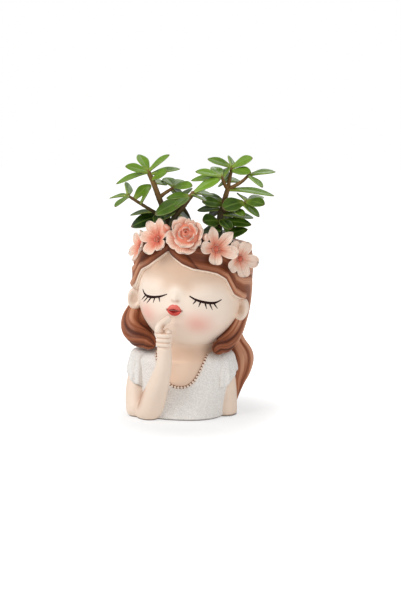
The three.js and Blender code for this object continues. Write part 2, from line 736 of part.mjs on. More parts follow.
const stems = {
  jade_stem_front: {
    branches: {
      main: { radius: stemRadius, path: [[-18, -9, rootEnd], [-18, -10, 10], [-9.5, -10, 23.5], [-0.5, -9, 34.5]] },
    },
    leaves: [
      ["main", 1, [22, 39], 7.5, ahead],
      ["main", 1, [8.5, 36], 6, behind],
      ["main", 0.96, [7.5, 25], 3.8, ahead],
      ["main", 0.9, [-16.5, 20.5], 7, ahead],
      ["main", 0.84, [-33.5, 15], 11.5, ahead],
      ["main", 0.92, [-24.5, 29.5], 7, behind],
    ],
  },
  jade_stem_left: {
    branches: {
      main: {
        radius: stemRadius,
        path: [[-14, 4, rootEnd], [-22, 3, 11], [-28.5, 2, 30], [-32.5, 3, 40.5], [-38, 4, 51]],
      },
      side: { radius: twigRadius, path: [[-22.5, 3, 12], [-33.5, -2, 19.5], [-43.5, -6, 26], [-53.5, -9, 33]] },
      upper: { radius: twigRadius, path: [[-28.5, 2, 30], [-23, 4, 34.5], [-18.5, 6, 38]] },
    },
    leaves: [
      ["main", 1, [-44.5, 65.5], 8.5, behind],
      ["main", 1, [-21.5, 65], 6.5, ahead],
      ["main", 0.97, [-56, 54], 7.5, ahead],
      ["main", 0.94, [-65.5, 40], 6.5, ahead],
      ["main", 0.94, [-13, 54], 6, behind],
      ["main", 0.84, [-24.5, 51], 8, behind],
      ["upper", 1, [-22.5, 49.5], 10, behind],
      ["upper", 1, [-3, 39.5], 6.5, ahead],
      ["side", 1, [-52, 41], 6, behind],
      ["side", 1, [-68.5, 28.5], 4.5, behind],
      ["side", 0.98, [-63.5, 20.5], 5.5, ahead],
      ["side", 0.86, [-35.5, 41], 9, behind],
      ["side", 0.7, [-34.5, 36], 5, ahead],
      ["side", 0.3, [-52.5, 12.5], 4.5, behind],
      ["main", 0.3, [-53, 7.5], 11, ahead],
      ["main", 0.32, [-31, 10], 8, ahead],
      ["main", 0.34, [-22, 18], 8, behind],
    ],
  },
  jade_stem_back: {
    branches: {
      main: { radius: twigRadius, path: [[6, 8, rootEnd], [-2.5, 8, 12], [-8.5, 8, 21], [-11, 7, 28]] },
    },
    leaves: [
      ["main", 0.55, [-14.5, 13], 5, behind],
      ["main", 1, [-4, 40], 6, behind],
      ["main", 1, [-20, 38], 6, behind],
    ],
  },
  jade_stem_right: {
    branches: {
      main: {
        radius: stemRadius,
        path: [[17, -1, rootEnd], [20.5, -1, 15], [22.5, -1, 21.5], [26.5, -1, 32.5], [28.5, -1, 37]],
      },
      left: { radius: twigRadius, path: [[28.5, -1, 37], [25, -4, 41.5], [22.5, -7, 47]] },
      middle: { radius: twigRadius, path: [[28.5, -1, 37], [29.5, 3, 47], [30, 6, 54]] },
      right: { radius: twigRadius, path: [[28.5, -1, 37], [36, -2, 42], [42.5, -3, 48.5]] },
      low: { radius: twigRadius, path: [[21.5, -1, 18], [32, -4, 23], [41, -6, 27.5]] },
    },
    leaves: [
      ["left", 1, [-1.2, 50], 6.5, ahead],
      ["left", 0.9, [-4.5, 44], 5.5, behind],
      ["left", 1, [15, 57.5], 8.5, ahead],
      ["middle", 1, [10, 61], 7, behind],
      ["middle", 1, [28, 64], 5, behind],
      ["middle", 1, [47, 62], 8, ahead],
      ["middle", 0.94, [45, 51.5], 7, ahead],
      ["middle", 0.6, [22, 45], 5.5, behind],
      ["right", 1, [64, 51.5], 6, behind],
      ["right", 0.96, [52, 39], 5.5, ahead],
      ["main", 0.97, [62.5, 31.5], 6, ahead],
      ["low", 1, [34, 34], 4, behind],
      ["low", 1, [55, 31.5], 6.5, behind],
      ["low", 0.96, [55, 22.5], 9, ahead],
      ["low", 0.9, [21, 20], 12.5, ahead],
      ["low", 0.8, [51, 13.5], 5.5, ahead],
      ["low", 0.35, [38.5, 13.5], 7, ahead],
      ["main", 0.62, [7.5, 30.5], 6.5, behind],
      ["main", 0.56, [8.5, 23], 9, ahead],
      ["main", 0.46, [2, 18], 5.5, behind],
      ["main", 0.24, [7.5, 8.5], 11, ahead],
      ["main", 0.2, [45, 7.5], 8.5, ahead],
      ["main", 0.27, [47, 13.5], 6.5, behind],
      ["main", 0.14, [42, 3], 7, ahead],
      ["main", 0.5, [33, 24], 8, behind],
      ["main", 0.34, [25, 14], 8, behind],
    ],
  },
};

const pathOf = (branch) => new THREE.CatmullRomCurve3(branch.path.map((p) => point(...p)));

function leafTip(base, [across, up], side) {
  const seen = Math.hypot(across - base.x, up - base.z - frontSlope * base.y);
  const deep = THREE.MathUtils.clamp(Math.sqrt(Math.max(leafLength ** 2 - seen ** 2, 0)), 3, 15);
  const y = base.y + side * deep;
  return point(across, y, up - frontSlope * y);
}

function leaf(base, tip, width, grow) {
  const along = tip.clone().sub(base);
  const arch = (share) => base.clone().addScaledVector(along, share).add(point(0, 0, 0.05 * along.length()));
  const shown = leafFullness * width;
  const breadth = Math.max(shown, leafBreadth);
  const across = along.clone().cross(leafFront).normalize();
  const roll = Math.acos(THREE.MathUtils.clamp((shown - 0.8 * leafThickness) / breadth, 0.2, 1));
  across.applyAxisAngle(along.clone().normalize(), across.z < 0 ? -roll : roll);
  const radii = [0.13, 0.42, 0.48, 0.1].map((share) => share * breadth + grow);
  const flat = (leafThickness + 2 * grow) / (breadth + 2 * grow);
  return limb([base, arch(0.35), arch(0.65), tip], radii, { side: across, flat, steps: 3, sides: 6, ends: 0 });
}

function stemSolid({ branches, leaves }, grow) {
  const wood = Object.values(branches).map((branch) => {
    const radii = branch.path.map((_, i) => branch.radius * mix(1, 0.7, i / branch.path.length) + grow);
    const points = branch.path.map((p) => point(...p));
    return limb(points, radii, { side: point(0, 1, 0), steps: 2 * points.length - 2, sides: 6, ends: 1 });
  });
  const foliage = leaves.map(([name, share, tip, width, side]) => {
    const base = pathOf(branches[name]).getPoint(share);
    return leaf(base, leafTip(base, tip, side), width, grow);
  });
  return joined([...wood, ...foliage]);
}

const plantFrame = new THREE.Group();
plantFrame.position.copy(onHead(0, 0, rimRise)).add(point(0, 0, stemRise));
plantFrame.rotation.z = plantFacing;
plantFrame.updateMatrix();

function makeStems() {
  const grown = [];
  return Object.entries(stems).map(([name, stem]) => {
    const made = cutBy(stemSolid(stem, 0), grown);
    grown.push(stemSolid(stem, glueGap));
    return [name, made];
  });
}

// Soil: the root ball, shaped by the cup and lifted out with the plant
function makeSoil() {
  const top = rimRise - soilBelowRim;
  const radiusAt = (z) => mix(cupFloorRadius, cupMouthRadius, (z - cupFloor - 3) / (cupDepth - 3)) - seatGap;
  const ball = turned([
    [0, cupFloor + seatGap],
    [cupFloorRadius - 3 - seatGap, cupFloor + seatGap],
    [radiusAt(cupFloor + 3), cupFloor + 3 + seatGap],
    [radiusAt(top), top],
    [0.6 * radiusAt(top), top + 1.2],
    [0, top + 1.6],
  ]);
  const roots = Object.values(stems).map((stem) => stemSolid(stem, seatGap).transform(plantFrame.matrix.elements));
  return cutBy(intoWorld(ball), roots);
}

// Assembly

const pot = new THREE.Group();
pot.add(headFrame, plantFrame);

function addMesh(parent, name, solid, paint) {
  const mesh = new THREE.Mesh(geometryOf(solid), paint);
  mesh.name = name;
  parent.add(mesh);
}

addMesh(pot, "bust_shell", makeBust(), skinPaint);
addMesh(pot, "drain_plug", makePlug(), plugRubber);
addMesh(pot, "dress_shell", makeDress(), dressPaint);
addMesh(pot, "neckline_beads", makeNeckTrim(), dressPaint);
addMesh(pot, "right_arm", makeRightArm(), skinPaint);
addMesh(pot, "right_hand", makeRightHand(), skinPaint);
addMesh(pot, "left_arm", makeLeftArm(), skinPaint);
addMesh(pot, "hair_cap", makeHairCap(), hairPaint);
addMesh(pot, "hair_lock_right", makeLock("right"), hairPaint);
addMesh(pot, "hair_lock_left", makeLock("left"), hairPaint);
addMesh(pot, "hair_tail", makeTail(), hairPaint);
for (const [name, flower] of makeGarland()) {
  addMesh(headFrame, name, flower, name.includes("bloom") ? petalPaint : rosePaint);
}
addMesh(pot, "potting_soil", makeSoil(), soilBrown);
for (const [name, stem] of makeStems()) {
  addMesh(plantFrame, name, stem, leafGreen);
}

export default pot;
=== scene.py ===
import math
import bpy
import numpy as np
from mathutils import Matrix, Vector


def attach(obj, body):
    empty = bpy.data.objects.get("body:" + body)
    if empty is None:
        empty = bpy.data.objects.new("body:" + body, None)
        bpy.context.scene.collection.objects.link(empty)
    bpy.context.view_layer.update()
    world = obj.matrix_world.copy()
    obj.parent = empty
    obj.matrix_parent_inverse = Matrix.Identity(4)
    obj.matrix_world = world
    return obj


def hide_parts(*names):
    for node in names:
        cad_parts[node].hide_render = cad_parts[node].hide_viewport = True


# A flower pot cast as the bust of a girl with closed eyes, with a jade plant growing out of her head.
# Settings are in millimetres and degrees; meshes are in metres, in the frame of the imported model.
mm = 0.001
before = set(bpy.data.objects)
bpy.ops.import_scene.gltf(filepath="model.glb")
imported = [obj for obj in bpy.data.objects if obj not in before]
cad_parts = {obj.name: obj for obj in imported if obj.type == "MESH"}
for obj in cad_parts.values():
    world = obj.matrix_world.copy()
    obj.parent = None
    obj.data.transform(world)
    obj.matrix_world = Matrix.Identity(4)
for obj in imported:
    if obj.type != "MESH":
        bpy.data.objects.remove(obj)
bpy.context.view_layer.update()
bpy.ops.object.select_all(action="DESELECT")
print("frame loaded:", len(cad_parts), "nodes")


# Small maths

def ramp(low, high, value):  # 0 at low, 1 at high
    return np.clip((value - low) / (high - low), 0, 1)


def smooth(low, high, value):  # the same with soft ends
    t = ramp(low, high, value)
    return t * t * (3 - 2 * t)


def mixed(a, b, t):
    return a + (b - a) * t


def hill(x, z, at, size):  # a soft round rise of height 1
    return np.exp(-(((x - at[0]) / size[0]) ** 2) - ((z - at[1]) / size[1]) ** 2)


def bell(x, width):  # the same along one line
    return np.exp(-((x / width) ** 2))


def signedPower(x, power):
    return np.sign(x) * np.abs(x) ** power


def ridge(x):  # rounded rises with sharp valleys, one per unit of x
    return np.abs(np.sin(np.pi * x)) ** 0.7


def softRidge(x):  # the same with rounded valleys
    return (np.sqrt(np.sin(np.pi * x) ** 2 + 0.06) - 0.245) / 0.785


def softened(row, width, ends):  # a running mean, with the row's ends continued
    kernel = np.hanning(width) / np.hanning(width).sum()
    return np.convolve(np.pad(row, width // 2, mode=ends), kernel, mode="valid")


def runLength(path):  # the way along a path to each of its points
    return np.concatenate([[0], np.cumsum(np.linalg.norm(np.diff(path, axis=0), axis=1))])


def xyz(x, y, z):
    return np.stack([x, y, z], axis=-1)


def polar(radius, turn, z):
    return xyz(radius * np.cos(turn), radius * np.sin(turn), z)


def unit(v):
    return v / np.maximum(np.linalg.norm(v, axis=-1, keepdims=True), 1e-9)


def along(points, t):  # smooth curve through the points, t from 0 to 1
    p = np.asarray(points, float)
    if p.ndim == 1:
        p = p[:, None]
    p = np.vstack([2 * p[0] - p[1], p, 2 * p[-1] - p[-2]])
    last = len(p) - 3
    at = np.clip(np.asarray(t, float), 0, 1) * last
    i = np.minimum(at.astype(int), last - 1)
    s = (at - i)[..., None]
    a, b, c, d = p[i], p[i + 1], p[i + 2], p[i + 3]
    square, cube = 2 * a - 5 * b + 4 * c - d, 3 * b - a - 3 * c + d
    return 0.5 * (2 * b + (c - a) * s + square * s**2 + cube * s**3)


def turned(bearing, axis):  # rotation matrix, bearing in degrees
    c, s = math.cos(math.radians(bearing)), math.sin(math.radians(bearing))
    rows = {
        "X": [[1, 0, 0], [0, c, -s], [0, s, c]],
        "Y": [[c, 0, s], [0, 1, 0], [-s, 0, c]],
        "Z": [[c, -s, 0], [s, c, 0], [0, 0, 1]],
    }
    return np.array(rows[axis])


# Mesh helpers

def addMesh(kind, name, **size):
    bpy.ops.object.select_all(action="DESELECT")
    getattr(bpy.ops.mesh, "primitive_" + kind + "_add")(**size)
    piece = bpy.context.object
    piece.name = piece.data.name = name
    return piece


def readVerts(piece):
    flat = np.empty(3 * len(piece.data.vertices))
    piece.data.vertices.foreach_get("co", flat)
    return flat.reshape(-1, 3)


def setVerts(piece, places):  # places in mm
    piece.data.vertices.foreach_set("co", (np.asarray(places, float) * mm).ravel())
    piece.data.update()


def store(piece, **layers):  # one number per vertex in each, for the material
    for name, values in layers.items():
        values = np.broadcast_to(values, len(piece.data.vertices)).astype(np.float32)
        piece.data.attributes.new(name, "FLOAT", "POINT").data.foreach_set("value", values)


def ball(name, around, up):  # a sphere to remap: its angle round Z, and 0 to 1 from foot to top
    piece = addMesh("uv_sphere", name, segments=around, ring_count=up, radius=1)
    co = readVerts(piece)
    return piece, np.arctan2(co[:, 1], co[:, 0]), np.arccos(np.clip(-co[:, 2], -1, 1)) / np.pi


def hoop(name, around, section):  # a torus to remap: its angle round Z, and 0 to 1 round its section
    counts = dict(major_segments=around, minor_segments=section)
    piece = addMesh("torus", name, major_radius=1, minor_radius=0.25, **counts)
    co = readVerts(piece)
    loop = np.arctan2(co[:, 2], np.hypot(co[:, 0], co[:, 1]) - 1) / (2 * np.pi)
    return piece, np.arctan2(co[:, 1], co[:, 0]), (loop + 0.25) % 1


# For a hoop made a wall, given where round its section the outside, top edge and inside end:
# how far up each point is from hem to top, and how far through from outside to inside.
def wallShares(q, outerEnd, topEnd, innerEnd):
    up = np.where(q < outerEnd, q / outerEnd, np.where(q < topEnd, 1, ramp(innerEnd, topEnd, q)))
    through = np.where(q < outerEnd, 0, np.where(q < topEnd, (q - outerEnd) / (topEnd - outerEnd), 1))
    return up, np.where(q > innerEnd, (1 - q) / (1 - innerEnd), through)


def selectOnly(*pieces):  # the first becomes active
    bpy.ops.object.select_all(action="DESELECT")
    for piece in pieces:
        piece.select_set(True)
    bpy.context.view_layer.objects.active = pieces[0]


def applyModifier(piece, kind, **settings):
    selectOnly(piece)
    made = piece.modifiers.new(kind.lower(), kind)
    for key, value in settings.items():
        setattr(made, key, value)
    bpy.ops.object.modifier_apply(modifier=made.name)


def joinPieces(name, pieces):
    selectOnly(*pieces)
    if len(pieces) > 1:
        bpy.ops.object.join()
    pieces[0].name = pieces[0].data.name = name
    return pieces[0]


def fuse(name, pieces, voxel, rounds):  # one skin over several overlapping shapes
    whole = joinPieces(name, pieces)
    applyModifier(whole, "REMESH", mode="VOXEL", voxel_size=voxel * mm)
    applyModifier(whole, "SMOOTH", factor=0.5, iterations=rounds)
    return whole


# A limb along a smooth path, with round ends. side is the way of its full width, flat its
# thickness as a share of that, and swell(turn, t) shapes the section.
def limb(name, points, radii, side=(0, 1, 0), flat=1, around=24, up=40, cap=0.12, swell=None):
    piece, turn, rise = ball(name, around, up)
    t = ramp(cap, 1 - cap, rise)
    end = ramp(0, cap, np.minimum(rise, 1 - rise)) * np.pi / 2
    step = 0.01
    tangent = unit(along(points, t + step) - along(points, t - step))
    sides = np.asarray(side, float)
    sides = along(sides, t) if sides.ndim == 2 else np.broadcast_to(sides, tangent.shape)
    across = unit(sides - tangent * np.sum(sides * tangent, axis=1, keepdims=True))
    upward = np.cross(tangent, across)
    radius = along(radii, t)
    push = np.where(rise < 0.5, -1, 1) * np.cos(end) * flat * radius[:, 0]
    if swell is not None:
        radius = radius * swell(turn, t)[:, None]
    spread = across * np.cos(turn)[:, None] + flat * upward * np.sin(turn)[:, None]
    setVerts(piece, along(points, t) + tangent * push[:, None] + radius * np.sin(end)[:, None] * spread)
    return piece, turn, t


def finishPiece(piece, body, paint, slot, *nodes):
    selectOnly(piece)
    bpy.ops.object.shade_smooth()
    piece.data.materials.clear()
    piece.data.materials.append(paint)
    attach(piece, body)
    if nodes:
        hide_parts(*nodes)


# Materials

def tint(r, g, b):  # a colour as read off a picture, 0 to 255
    shares = (r / 255, g / 255, b / 255)
    return tuple(v / 12.92 if v <= 0.04045 else ((v + 0.055) / 1.055) ** 2.4 for v in shares) + (1,)


class Wire:  # a node's output: sums on it add Math nodes to its tree
    def __init__(self, tree, socket=None):
        self.tree = tree
        self.socket = socket

    def add(self, kind, settings, inputs, output=0):
        made = self.tree.nodes.new("ShaderNode" + kind)
        for key, value in settings.items():
            if key == "stops":
                made.color_ramp.elements[1].position = 1
                for place, colour in value[1:-1]:
                    made.color_ramp.elements.new(place)
                for element, (place, colour) in zip(made.color_ramp.elements, value):
                    element.position, element.color = place, colour
            else:
                setattr(made, key, value)
        for key, value in inputs.items():
            self.feed(made.inputs[key], value)
        return Wire(self.tree, made.outputs[output])

    def feed(self, socket, value):
        if isinstance(value, Wire):
            self.tree.links.new(value.socket, socket)
        else:
            socket.default_value = value

    def sum(self, operation, left, right=0.0):
        return self.add("Math", {"operation": operation}, {0: left, 1: right})

    def __add__(self, other):
        return self.sum("ADD", self, other)

    def __radd__(self, other):
        return self.sum("ADD", other, self)

    def __sub__(self, other):
        return self.sum("SUBTRACT", self, other)

    def __rsub__(self, other):
        return self.sum("SUBTRACT", other, self)

    def __mul__(self, other):
        return self.sum("MULTIPLY", self, other)

    def __rmul__(self, other):
        return self.sum("MULTIPLY", other, self)


def newPaint(name, roughness, specular):  # material, its shader node, a wire to start from
    material = bpy.data.materials.new(name)
    material.use_nodes = True
    surface = material.node_tree.nodes["Principled BSDF"]
    surface.inputs["Roughness"].default_value = roughness
    surface.inputs["Specular IOR Level"].default_value = specular
    return material, surface, Wire(material.node_tree)


def objectPlace(wire):
    return wire.add("TexCoord", {}, {}, "Object")


def attribute(wire, name):
    return wire.add("Attribute", {"attribute_name": name}, {}, "Fac")


def noise(wire, scale, detail=2.0, place=None):  # scale in lumps per metre, result about 0.5
    inputs = {"Vector": place or objectPlace(wire), "Scale": scale, "Detail": detail}
    return wire.add("TexNoise", {}, inputs, "Fac")


def fade(value, low, high):  # 0 below low, 1 above high
    inputs = {"Value": value, 1: low, 2: high}
    return value.add("MapRange", {"interpolation_type": "SMOOTHSTEP"}, inputs)


def blend(share, first, second):
    return share.add("Mix", {"data_type": "RGBA"}, {0: share, 6: first, 7: second}, 2)


def layered(colour, *layers):  # each layer is its share and the tint that it lays over what is there
    for share, over in layers:
        ground = tint(*colour) if isinstance(colour, tuple) else colour
        colour = blend(share, ground, tint(*over))
    return colour


def rampTints(value, *stops):  # each stop is a value and its tint
    stops = [(place, tint(*colour)) for place, colour in stops]
    return value.add("ValToRGB", {"stops": stops}, {0: value})


def bump(height, distance):  # distance in mm
    return height.add("Bump", {}, {"Height": height, "Distance": distance * mm, "Strength": 1.0})


def coat(surface, colour, normal=None, roughness=None):
    for name, value in (("Base Color", colour), ("Normal", normal), ("Roughness", roughness)):
        if value is not None:
            value.feed(surface.inputs[name], value)


def mottledPaint(name, roughness, specular, scale, first, second):
    material, surface, wire = newPaint(name, roughness, specular)
    coat(surface, layered(first, (noise(wire, scale), second)))
    return material


def contactShadow(colour, low=0.3, high=1.7, share=0.75):  # painted contact shadow, darker where a piece meets the ground
    height = colour.add("SeparateXYZ", {}, {0: objectPlace(colour)}, "Z")
    return layered(colour, (share * (1 - fade(height, low * mm, high * mm)), (104, 78, 62)))


skinSet = dict(
    ivory=(247, 229, 212), tan=(214, 178, 150), shade=(176, 120, 86),
    # the soil tint is painted shade for the inside of the cup
    pink=(236, 140, 124), soil=(74, 56, 44),
)


def skinPaint():
    s = skinSet
    material, surface, wire = newPaint("painted_skin", 0.5, 0.35)
    mottle = noise(wire, 60, 3)
    colour = layered(
        s["ivory"],
        # tan paint, with painted shade in recesses, under the chin and on the forehead
        (attribute(wire, "warm") + 0.25 * (mottle - 0.5), s["tan"]),
        (attribute(wire, "shade"), s["shade"]),
        (attribute(wire, "rouge") * (0.75 + 0.5 * mottle), s["pink"]),
        # painted shade inside the cup
        (attribute(wire, "soiled"), s["soil"]),
    )
    coat(surface, contactShadow(colour), bump(noise(wire, 1500, 3), 0.05), 0.42 + 0.2 * noise(wire, 240))
    return material


def lipPaint():
    material, surface, wire = newPaint("lip_paint", 0.36, 0.3)
    streak, dark = noise(wire, 900), attribute(wire, "dark")
    lower = attribute(wire, "lower")
    colour = layered(
        (219, 100, 88), (lower, (205, 52, 44)), (0.35 * streak, (236, 140, 126)), (dark, (132, 8, 6)),
    )
    coat(surface, colour, bump(streak, 0.08), 0.34 + 0.56 * dark)
    return material


# Camera, light and floor

cameraSet = dict(  # lengths in metres; pixel is what one shows of the object
    bearing=8, elevation=10, distance=1.0, aim=(0.0139, 0, 0.095),
    film=36, imageHeight=601, pixel=0.825e-3,
)


def lookAlong(way):
    return way.to_track_quat("-Z", "Y").to_euler()


def setCamera(s):
    bearing, elevation = math.radians(s["bearing"]), math.radians(s["elevation"])
    level = math.cos(elevation)
    away = Vector((math.sin(bearing) * level, -math.cos(bearing) * level, math.sin(elevation)))
    bpy.ops.object.camera_add(location=Vector(s["aim"]) + s["distance"] * away)
    camera = bpy.context.object
    camera.rotation_euler = lookAlong(-away)
    camera.data.sensor_fit = "VERTICAL"
    camera.data.sensor_height = s["film"]
    camera.data.lens = s["film"] * s["distance"] / (s["imageHeight"] * s["pixel"])
    bpy.context.scene.camera = camera


lightSet = dict(  # in metres and watts; the sky is full for the camera and less for the rest
    key=dict(at=(-0.8, -0.6, 0.85), size=0.7, power=10),
    fill=dict(at=(0.75, -0.7, 0.35), size=0.7, power=3.1),
    back=dict(at=(0.2, 0.7, 0.8), size=0.7, power=3),
    aim=(0.01, 0, 0.1),
    sky=0.36, glossySky=0.15,
)


def setLights(s):
    for name in ("key", "fill", "back"):
        lamp = s[name]
        bpy.ops.object.light_add(type="AREA", location=lamp["at"])
        light = bpy.context.object
        light.name = name + "_light"
        light.data.size = lamp["size"]
        light.data.energy = lamp["power"]
        light.rotation_euler = lookAlong(Vector(s["aim"]) - Vector(lamp["at"]))
    world = bpy.data.worlds.new("studio")
    bpy.context.scene.world = world
    world.use_nodes = True
    wire = Wire(world.node_tree)
    seen = wire.add("LightPath", {}, {}, "Is Camera Ray")
    seen = wire.sum("MAXIMUM", seen, wire.add("LightPath", {}, {}, "Is Glossy Ray") * s["glossySky"])
    sky = world.node_tree.nodes["Background"]
    sky.inputs["Color"].default_value = (1, 1, 1, 1)
    wire.feed(sky.inputs["Strength"], s["sky"] + (1 - s["sky"]) * seen)
    bpy.context.scene.view_settings.view_transform = "Standard"


floorSet = dict(  # in metres; for the camera it glows too, least where the object stands
    size=6, white=0.85, seenWhite=0.46, glow=0.52, dimmest=(0.01, -0.012, 0), near=0.04, far=0.13,
)


def makeFloor(s):
    floor = addMesh("plane", "floor", size=s["size"])
    material, surface, wire = newPaint("white_floor", 0.9, 0.0)
    seen = wire.add("LightPath", {}, {}, "Is Camera Ray")
    white = [(s[key],) * 3 + (1,) for key in ("white", "seenWhite")]
    wire.feed(surface.inputs["Base Color"], blend(seen, *white))
    ends = {0: objectPlace(wire), 1: s["dimmest"]}
    away = wire.add("VectorMath", {"operation": "DISTANCE"}, ends, "Value")
    level = s["glow"] + (1 - s["glow"]) * fade(away, s["near"], s["far"])
    glow = blend(seen * level, (0, 0, 0, 1), (1, 1, 1, 1))
    wire.feed(surface.inputs["Emission Color"], glow)
    surface.inputs["Emission Strength"].default_value = 1
    floor.data.materials.append(material)


setCamera(cameraSet)
setLights(lightSet)
makeFloor(floorSet)
print("camera, lights and floor set")


# Head: the pot, with the face in relief on its front and the cup inside

headSet = dict(
    centre=(6, 0, 103), roll=6, turn=-7,
    halfWidth=43.5, halfDepth=40.5, drop=47, dome=105, rim=43,
    cupMouth=33, cupFloor=26, cupDepth=68, passage=8, rimRound=0.8, pipeEnd=4,
    around=336, up=230, frontCrowding=0.38,
)
headTurn = turned(headSet["roll"], "Y") @ turned(headSet["turn"], "Z")


def onHead(local):  # from the head's own frame to the object's, in mm
    return np.asarray(local, float) @ headTurn.T + np.array(headSet["centre"])


def headShare(z):
    s = headSet
    reach = np.where(z < 0, s["drop"], s["dome"])
    return np.sqrt(np.clip(1 - (z / reach) ** 2, 0, 1))


faceSet = dict(
    middle=-1.8, lidAcross=21, lidHeight=4.2, noseTip=-0.9, mouth=(-1.65, -9.9),
    leftRouge=(-26.5, -18), rightRouge=(16.5, -19),
)


def faceRelief(x, z):  # how far the face stands out of the plain head
    s = faceSet
    m = s["middle"]
    rise = np.zeros_like(x)
    for sign in (-1, 1):
        rise = rise + 1.5 * hill(x, z, (sign * s["lidAcross"], s["lidHeight"]), (12, 5.5))  # closed lid
        rise = rise - 1.1 * hill(x, z, (sign * 17, 13.5), (13, 4.5))  # under the brow
        rise = rise - 0.7 * hill(x, z, (m + sign * 8, 3.5), (4, 5))  # inner corner of the eye
        rise = rise + 1.6 * hill(x, z, (sign * 22, -17), (13, 10))  # cheek
        rise = rise - 0.5 * hill(x, z, (m + sign * 9, -6), (4, 5))  # beside the nose
        rise = rise + 0.7 * hill(x, z, (m + sign * 2.1, s["noseTip"] - 0.7), (1.5, 1.3))  # nostril
    rise = rise + 0.9 * hill(x, z, (m, 4), (3.6, 4.5))  # bridge of the nose
    rise = rise + 2.6 * hill(x, z, (m, s["noseTip"] + 0.4), (2.5, 2.3))  # its tip
    rise = rise + 1.5 * hill(x, z, s["mouth"], (8, 6))
    rise = rise - 0.8 * hill(x, z, (m, -17.5), (6, 2.5))  # below the lips
    return rise + 1.0 * hill(x, z, (m, -27), (9, 7))  # chin


def faceOut(x, y, z):  # the way that the head's skin faces
    s = headSet
    reach = np.where(z < 0, s["drop"], s["dome"])
    return unit(xyz(x / s["halfWidth"] ** 2, y / s["halfDepth"] ** 2, z / reach**2))


def onFace(x, z, lift):  # a point of the face in the head's frame, and the way it faces
    x, z = np.asarray(x, float), np.asarray(z, float)
    share = headShare(z)
    beside = np.clip(1 - (x / (headSet["halfWidth"] * share)) ** 2, 0, 1)
    y = -headSet["halfDepth"] * share * np.sqrt(beside)
    out = faceOut(x, y, z)
    return xyz(x, y, z) + out * (faceRelief(x, z) + lift)[..., None], out


def makeHead(s):
    piece, turn, rise = ball("head_pot", s["around"], s["up"])
    bearing = turn + np.pi / 2  # 0 at the middle of the face
    bearing = bearing - s["frontCrowding"] * np.sin(bearing)
    skin, lip, wall, floor = 0.70, 0.74, 0.88, 0.95  # where the mesh's rows end for each
    middle = 0.62 * skin  # where the head is widest
    low = ramp(0, middle, rise) * np.pi / 2
    z = np.where(rise < middle, -s["drop"] * np.cos(low), s["rim"] * ramp(middle, skin, rise))
    share = np.where(rise < middle, np.sin(low), headShare(z))
    x = s["halfWidth"] * share * np.sin(bearing)
    y = -s["halfDepth"] * share * np.cos(bearing)
    front = smooth(-4, -16, y)
    out = faceOut(x, y, z)
    co = xyz(x, y, z) + out * (front * faceRelief(x, z))[:, None]
    circle = xyz(np.sin(bearing), -np.cos(bearing), 0 * z)
    mouthEdge = circle * s["cupMouth"]
    outerEdge = xyz(x, y, 0 * z)
    t = ramp(skin, lip, rise)
    crown = mixed(outerEdge, mouthEdge, t[:, None])
    crown[:, 2] = s["rim"] - s["rimRound"] * np.abs(2 * t - 1) ** 4
    depth = s["rim"] - s["cupDepth"]
    t = ramp(lip, wall, rise)
    cup = circle * mixed(s["cupMouth"], s["cupFloor"], t)[:, None]
    cup[:, 2] = mixed(s["rim"] - s["rimRound"], depth, t)
    t = ramp(wall, floor, rise)
    base = circle * mixed(s["cupFloor"], s["passage"], t)[:, None]
    base[:, 2] = depth
    t = ramp(floor, 1, rise)
    pipe = circle * (s["passage"] * (1 - smooth(0.9, 1, t)))[:, None]
    pipe[:, 2] = mixed(depth, s["pipeEnd"] - s["drop"], np.minimum(t / 0.9, 1))
    for start, part in ((skin, crown), (lip, cup), (wall, base), (floor, pipe)):
        co = np.where((rise > start + 1e-6)[:, None], part, co)
    setVerts(piece, onHead(co))
    f = faceSet
    m, tip = f["middle"], f["noseTip"]
    shown = front * (rise < skin)
    # the forehead under the fringe, the eye sockets, under the jaw and the cup get tan paint with painted
    # shade; the bridge of the nose gets less, a painted highlight
    brow = smooth(4, 22, z) * 0.84
    sockets = sum(0.4 * hill(x, z, (m + sign * 9, 9), (6, 6)) for sign in (-1, 1))
    sockets = sockets + 0.3 * hill(x, z, (m, 12), (7, 5))
    bridge = 0.5 * hill(x, z, (m, 2.5), (4, 6))
    jaw = 0.2 * smooth(-34, -46, z) + 0.3 * smooth(30, 42, np.abs(x))
    store(piece, warm=np.clip(shown * (brow + sockets - bridge) + jaw + 0.5 * (rise > skin), 0, 1))
    # the cup's inner wall is painted dark: painted shade
    store(piece, soiled=smooth(skin, lip, rise))
    rouge = 0.5 * hill(x, z, f["leftRouge"], (9, 8)) + 0.55 * hill(x, z, f["rightRouge"], (10.5, 8.5))
    store(piece, rouge=shown * rouge)
    nostrils = 0.6 * hill(x, z, (m + 2.4, tip - 1.1), (1.3, 1.1))
    nostrils = nostrils + 0.3 * hill(x, z, (m - 1.9, tip - 0.9), (1.2, 1))
    store(piece, shade=shown * nostrils)
    return piece


earSet = dict(
    across={1: 43.2, -1: 46.2}, height={1: -8.1, -1: -13.2}, out={1: 7.6, -1: 6.6},
    # less tan and painted shade on the right ear: painted light on its lit side
    tall={1: 10.4, -1: 9.8}, back=-2, thick=4.2, hollow=2, warm={1: 1, -1: 0.45}, around=56, up=44,
)


